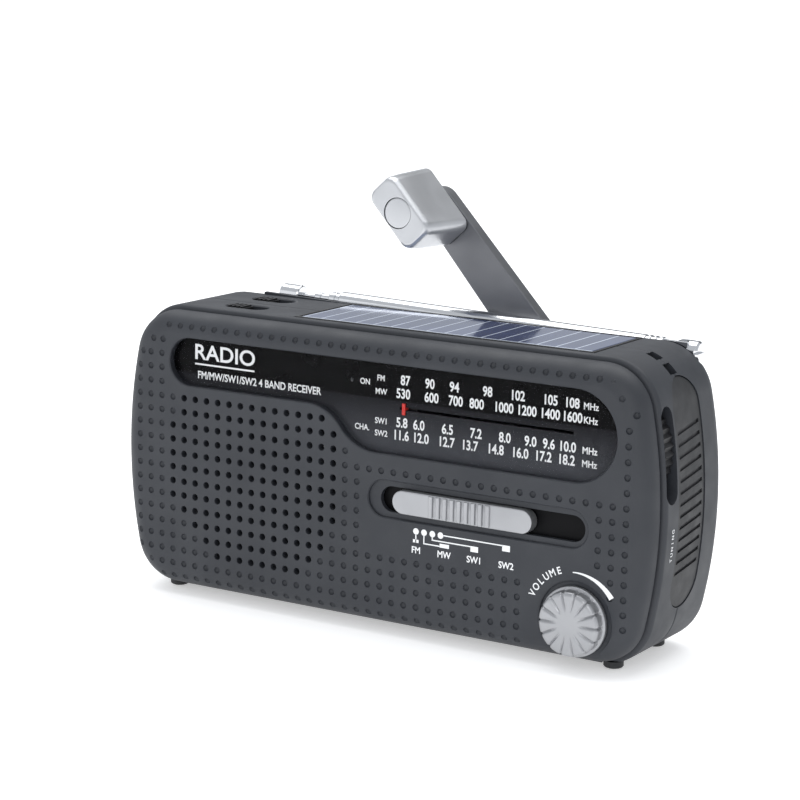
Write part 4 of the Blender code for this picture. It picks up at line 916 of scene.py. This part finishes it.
SCALES = (
    (46.4, ((73.7, "87"), (81.6, "90"), (89.4, "94"), (99.8, "98"), (109.1, "102"), (119.1, "105"),
            (125.6, "108")), "MHz"),
    (42.6, ((73.1, "530"), (82.2, "600"), (89.9, "700"), (96.5, "800"), (104.9, "1000"), (112.0, "1200"),
            (119.1, "1400"), (125.8, "1600")), "KHz"),
    (34.4, ((72.8, "5.8"), (78.3, "6.0"), (87.5, "6.5"), (96.5, "7.2"), (105.5, "8.0"), (113.4, "9.0"),
            (119.0, "9.6"), (124.6, "10.0")), "MHz"),
    (30.8, ((72.6, "11.6"), (79.0, "12.0"), (87.2, "12.7"), (94.6, "13.7"), (102.7, "14.8"),
            (110.3, "16.0"), (117.4, "17.2"), (124.4, "18.2")), "MHz"),
)


def dial_marks(ink):
    """The four wave-band scales, the names beside them and the title on the dial."""
    y = DIAL_PRINT_Y
    shapes = []
    for height, numbers, unit in SCALES:
        for at, text in numbers:
            shapes.append(printed(letters(text, 2.6, 0.09, 0.80), scale_x(at), y, scale_z(height)))
        shapes.append(printed(letters(unit, 1.8, 0.05, 0.9), scale_x(131.3), y, scale_z(height - 0.3)))
    for at, height, text in ((60.6, 44.8, "ON"), (59.8, 31.8, "CHA."), (65.8, 46.3, "FM"),
                             (65.9, 42.5, "MW"), (66.1, 34.2, "SW1"), (66.1, 30.7, "SW2")):
        shapes.append(printed(letters(text, 1.6, 0.045, 0.9), scale_x(at), y, scale_z(height)))
    shapes.append(printed(letters("RADIO", 4.3, 0.10, 1.12), scale_x(12.5), y, scale_z(46.7)))
    shapes.append(strip(scale_x(2.0), scale_z(43.1), scale_x(23.0), scale_z(43.6), y))
    shapes.append(printed(letters("FM/MW/SW1/SW2 4 BAND RECEIVER", 2.1, 0.06, 0.86), scale_x(24.4), y,
                          scale_z(40.1)))
    piece("dial_marks", joined(shapes), ink, "cabinet")


def face_marks(ink):
    """Band leaders under the slider and the tapering mark over the volume knob."""
    y = FACE_Y

    def run(x0, z0, x1, z1):
        half = LEADER_HALF
        return strip(scale_x(x0) - half, scale_z(z0) - half, scale_x(x1) + half, scale_z(z1) + half, y)

    shapes = [mark(arc((scale_x(x), scale_z(5.2)), 0.85, 0, 2 * math.pi, 24)[:-1], y)
              for x in (79.7, 82.3, 85.0, 87.6)]
    shapes += [run(79.7, 2.2, 79.7, 4.2), strip(scale_x(78.8), scale_z(2.0), scale_x(80.6), scale_z(2.9), y)]
    shapes += [run(82.3, 2.1, 82.3, 4.2), run(82.7, 2.1, 87.2, 2.1),
               strip(scale_x(87.4), scale_z(1.8), scale_x(90.4), scale_z(2.9), y)]
    shapes += [run(85.0, 3.5, 85.0, 4.2), run(85.4, 3.5, 97.0, 3.5),
               strip(scale_x(97.2), scale_z(2.1), scale_x(99.6), scale_z(3.7), y)]
    shapes += [run(88.7, 5.3, 107.0, 5.3),
               strip(scale_x(107.1), scale_z(3.8), scale_x(109.5), scale_z(5.5), y)]
    for at, text in ((79.8, "FM"), (88.8, "MW"), (98.4, "SW1"), (108.4, "SW2")):
        shapes.append(printed(letters(text, 1.8, 0.05, 0.9), scale_x(at), y - PRINT_LIFT, scale_z(-0.2)))
    radius = 13.2
    for n, letter in enumerate("VOLUME"):
        a = math.radians(156 - 9.0 * n)
        x, z = VOLUME_X + radius * math.cos(a), VOLUME_Z + radius * math.sin(a)
        shapes.append(printed(letters(letter, 1.9, 0.05, 0.9), x, y - PRINT_LIFT, z, math.pi / 2 - a))
    outer, inner, middle, steps = [], [], 12.6, 24
    for i in range(steps + 1):
        t = i / steps
        a = math.radians(94 - 58 * t)
        half = 0.12 + 0.62 * t
        for side, r in ((outer, middle + half), (inner, middle - half)):
            side.append((VOLUME_X + r * math.cos(a), VOLUME_Z + r * math.sin(a)))
    shapes.append(mark(outer + inner[::-1], y))
    piece("face_marks", joined(shapes), ink, "cabinet")


def end_marks(ink):
    """The word for the tuning wheel, reading up the right end below it."""
    shapes = []
    for n, letter in enumerate("TUNING"):
        z = 29.4 + 1.5 * n
        shapes.append(printed(letters(letter, 1.25, 0.02, 0.9), end_surface(z) + PRINT_THICKNESS, -9.6, z,
                              -math.pi / 2, facing_end=True))
    piece("end_marks", joined(shapes), ink, "cabinet")


# -------------- kept CAD nodes
def finish_kept(finishes):
    """Gives every CAD node that is still shown its finish and softly rounded edges."""
    for part in frame["record"]["subparts"]:
        name, slot = part["node"], part["material_slot"]
        node = frame["nodes"][name]
        if node.hide_render:
            continue
        node.data.materials.clear()
        node.data.materials.append(finishes[name if name in finishes else slot])
        weld = node.modifiers.new("Weld", "WELD")
        weld.merge_threshold = WELD_REACH
        edge = node.modifiers.new("Bevel", "BEVEL")
        edge.width, edge.segments, edge.limit_method = KEPT_BEVEL, 2, "ANGLE"
        edge.angle_limit = KEPT_BEVEL_ANGLE
        flatter_faces(node)


# -------------- studio
def studio():
    """A pale floor, a soft sky with three area lights and a dark card, and the photo's camera."""
    bpy.ops.mesh.primitive_plane_add(size=60.0, location=(0, 0, -0.0004))
    floor = bpy.context.object
    floor.name = "floor"
    ground = Shader("floor_white", (0.93, 0.93, 0.93), 0.6)
    ground.varied((0.92, 0.92, 0.92), (0.94, 0.94, 0.94), 3.0)
    ground.roughened(0.55, 0.65, 6.0)
    ground.surface.inputs["Emission Color"].default_value = (1, 1, 1, 1)
    ground.surface.inputs["Emission Strength"].default_value = 0.42
    floor.data.materials.append(ground.material)

    world = bpy.data.worlds.new("studio")
    bpy.context.scene.world = world
    world.use_nodes = True
    sky = world.node_tree.nodes["Background"]
    sky.inputs["Color"].default_value = (0.93, 0.96, 1.0, 1)
    sky.inputs["Strength"].default_value = 0.72

    def panel_light(name, place, target, size, power):
        lamp = bpy.data.lights.new(name, "AREA")
        lamp.shape, lamp.size, lamp.size_y, lamp.energy = "RECTANGLE", size[0], size[1], power
        made = bpy.data.objects.new(name, lamp)
        made.location = place
        made.rotation_euler = (Vector(target) - Vector(place)).to_track_quat("-Z", "Y").to_euler()
        bpy.context.scene.collection.objects.link(made)

    shade = Shader("card_black", (0.02, 0.02, 0.02), 0.9)
    shade.varied((0.018, 0.018, 0.018), (0.022, 0.022, 0.022), 4.0)
    bpy.ops.mesh.primitive_plane_add(size=1.0, location=(0.35, 1.35, 0.98))
    card = bpy.context.object
    card.name = "dark_card"
    card.scale = (2.4, 0.8, 1.0)
    card.rotation_euler = (math.radians(62), 0, 0)
    card.data.materials.append(shade.material)

    panel_light("overhead", (-0.1, 0.25, 1.0), (0, 0, 0.04), (1.3, 1.0), 9.0)
    panel_light("left_front", (-0.85, -0.75, 0.35), (-0.02, 0, 0.08), (0.6, 0.6), 0.5)
    panel_light("right_front", (0.55, -1.3, 0.7), (0.05, 0, 0.04), (0.5, 0.5), 3.4)

    camera = bpy.data.objects.new("camera", bpy.data.cameras.new("camera"))
    camera.data.lens, camera.data.sensor_width = 112.5, 36.0
    camera.data.clip_start = 0.01
    right = Vector((0.84962965, 0.52707262, 0.0179974))
    down = Vector((0.11755256, -0.15600399, -0.98073653))
    forward = Vector((-0.51411171, 0.83537848, -0.19450436))
    turn = Matrix((right, -down, -forward)).transposed().to_4x4()
    camera.matrix_world = Matrix.Translation((0.340277, -0.560227, 0.188652)) @ turn
    bpy.context.scene.collection.objects.link(camera)
    bpy.context.scene.camera = camera
    bpy.context.scene.view_settings.view_transform = "Standard"


def main():
    charcoal = moulded_plastic("charcoal_shell", (0.0215, 0.0242, 0.0305), (0.027, 0.0302, 0.0375))
    black = moulded_plastic("black_shell", (0.008, 0.008, 0.009), (0.014, 0.014, 0.016), (0.35, 0.5),
                            shine=0.25)
    deep_black = moulded_plastic("tray_black", (0.003, 0.003, 0.0035), (0.005, 0.005, 0.006), (0.4, 0.5),
                                 shine=0.1)
    silver = silver_paint("silver_flake", (0.34, 0.345, 0.36), (0.41, 0.415, 0.43))
    bright_silver = silver_paint("bright_flake", (0.50, 0.51, 0.53), (0.58, 0.59, 0.61), (0.28, 0.38))
    grey_silver = silver_paint("grey_flake", (0.15, 0.153, 0.164), (0.195, 0.199, 0.211), (0.3, 0.42))
    chrome = polished_metal("chrome_plate", (0.62, 0.63, 0.65), (0.72, 0.73, 0.75), (0.06, 0.14))
    steel = polished_metal("steel_grey", (0.42, 0.42, 0.43), (0.56, 0.56, 0.57), (0.25, 0.38))
    dark_steel = polished_metal("steel_blued", (0.02, 0.02, 0.022), (0.04, 0.04, 0.044), (0.4, 0.5))
    copper = polished_metal("copper_turns", (0.50, 0.22, 0.09), (0.70, 0.36, 0.16), (0.28, 0.4), (40, 1, 1))
    window = clear_plastic("window_clear", 0.06, shine=0.0)
    torch_clear = clear_plastic("torch_clear", 0.18, (0.5, 0.52, 0.55))
    red = moulded_plastic("pointer_red", (0.55, 0.02, 0.015), (0.72, 0.04, 0.03), (0.3, 0.4))
    rubber = soft_rubber("rubber_black", (0.011, 0.0118, 0.0135), (0.018, 0.0188, 0.0215), (0.5, 0.65))
    green = moulded_plastic("board_green", (0.012, 0.09, 0.035), (0.02, 0.15, 0.06), (0.35, 0.5), 700.0)
    nylon = moulded_plastic("nylon_white", (0.66, 0.65, 0.60), (0.76, 0.75, 0.70), (0.35, 0.5))
    paper = soft_rubber("cone_fibre", (0.030, 0.028, 0.026), (0.06, 0.056, 0.05))
    sleeve = moulded_plastic("sleeve_green", (0.03, 0.14, 0.06), (0.05, 0.2, 0.09), (0.25, 0.35))
    magnet = moulded_plastic("ferrite_grey", (0.03, 0.03, 0.032), (0.05, 0.05, 0.053), (0.5, 0.6), 900.0)
    cell = solar_face("cell_blue")
    ink = moulded_plastic("ink_white", (0.84, 0.85, 0.86), (0.90, 0.91, 0.92), (0.45, 0.55), 2000.0, 0.05)
    dial = dial_print("dial_black")

    front_cover(charcoal)
    rear_cover(charcoal)
    feet(rubber)
    case_screws(steel)
    dial_window(window, dial)
    dial_pointer(red, black)
    band_slider(silver)
    volume_knob(silver)
    rubber_flap(rubber)
    crank(bright_silver, grey_silver, steel)
    antenna(chrome)
    torch(torch_clear, chrome, nylon)
    dial_marks(ink)
    face_marks(ink)
    end_marks(ink)
    finish_kept({
        "charcoal_plastic": charcoal, "black_plastic": black, "silver_paint": silver, "chrome": chrome,
        "steel": steel, "copper_wire": copper, "clear_plastic": torch_clear, "red_plastic": red,
        "rubber": rubber, "circuit_board": green, "white_nylon": nylon, "cone_paper": paper,
        "solar_cell": cell, "battery_sleeve": sleeve, "magnet": magnet, "pointer_rail": dark_steel,
        "slider_tray": deep_black,
    })
    studio()


main()
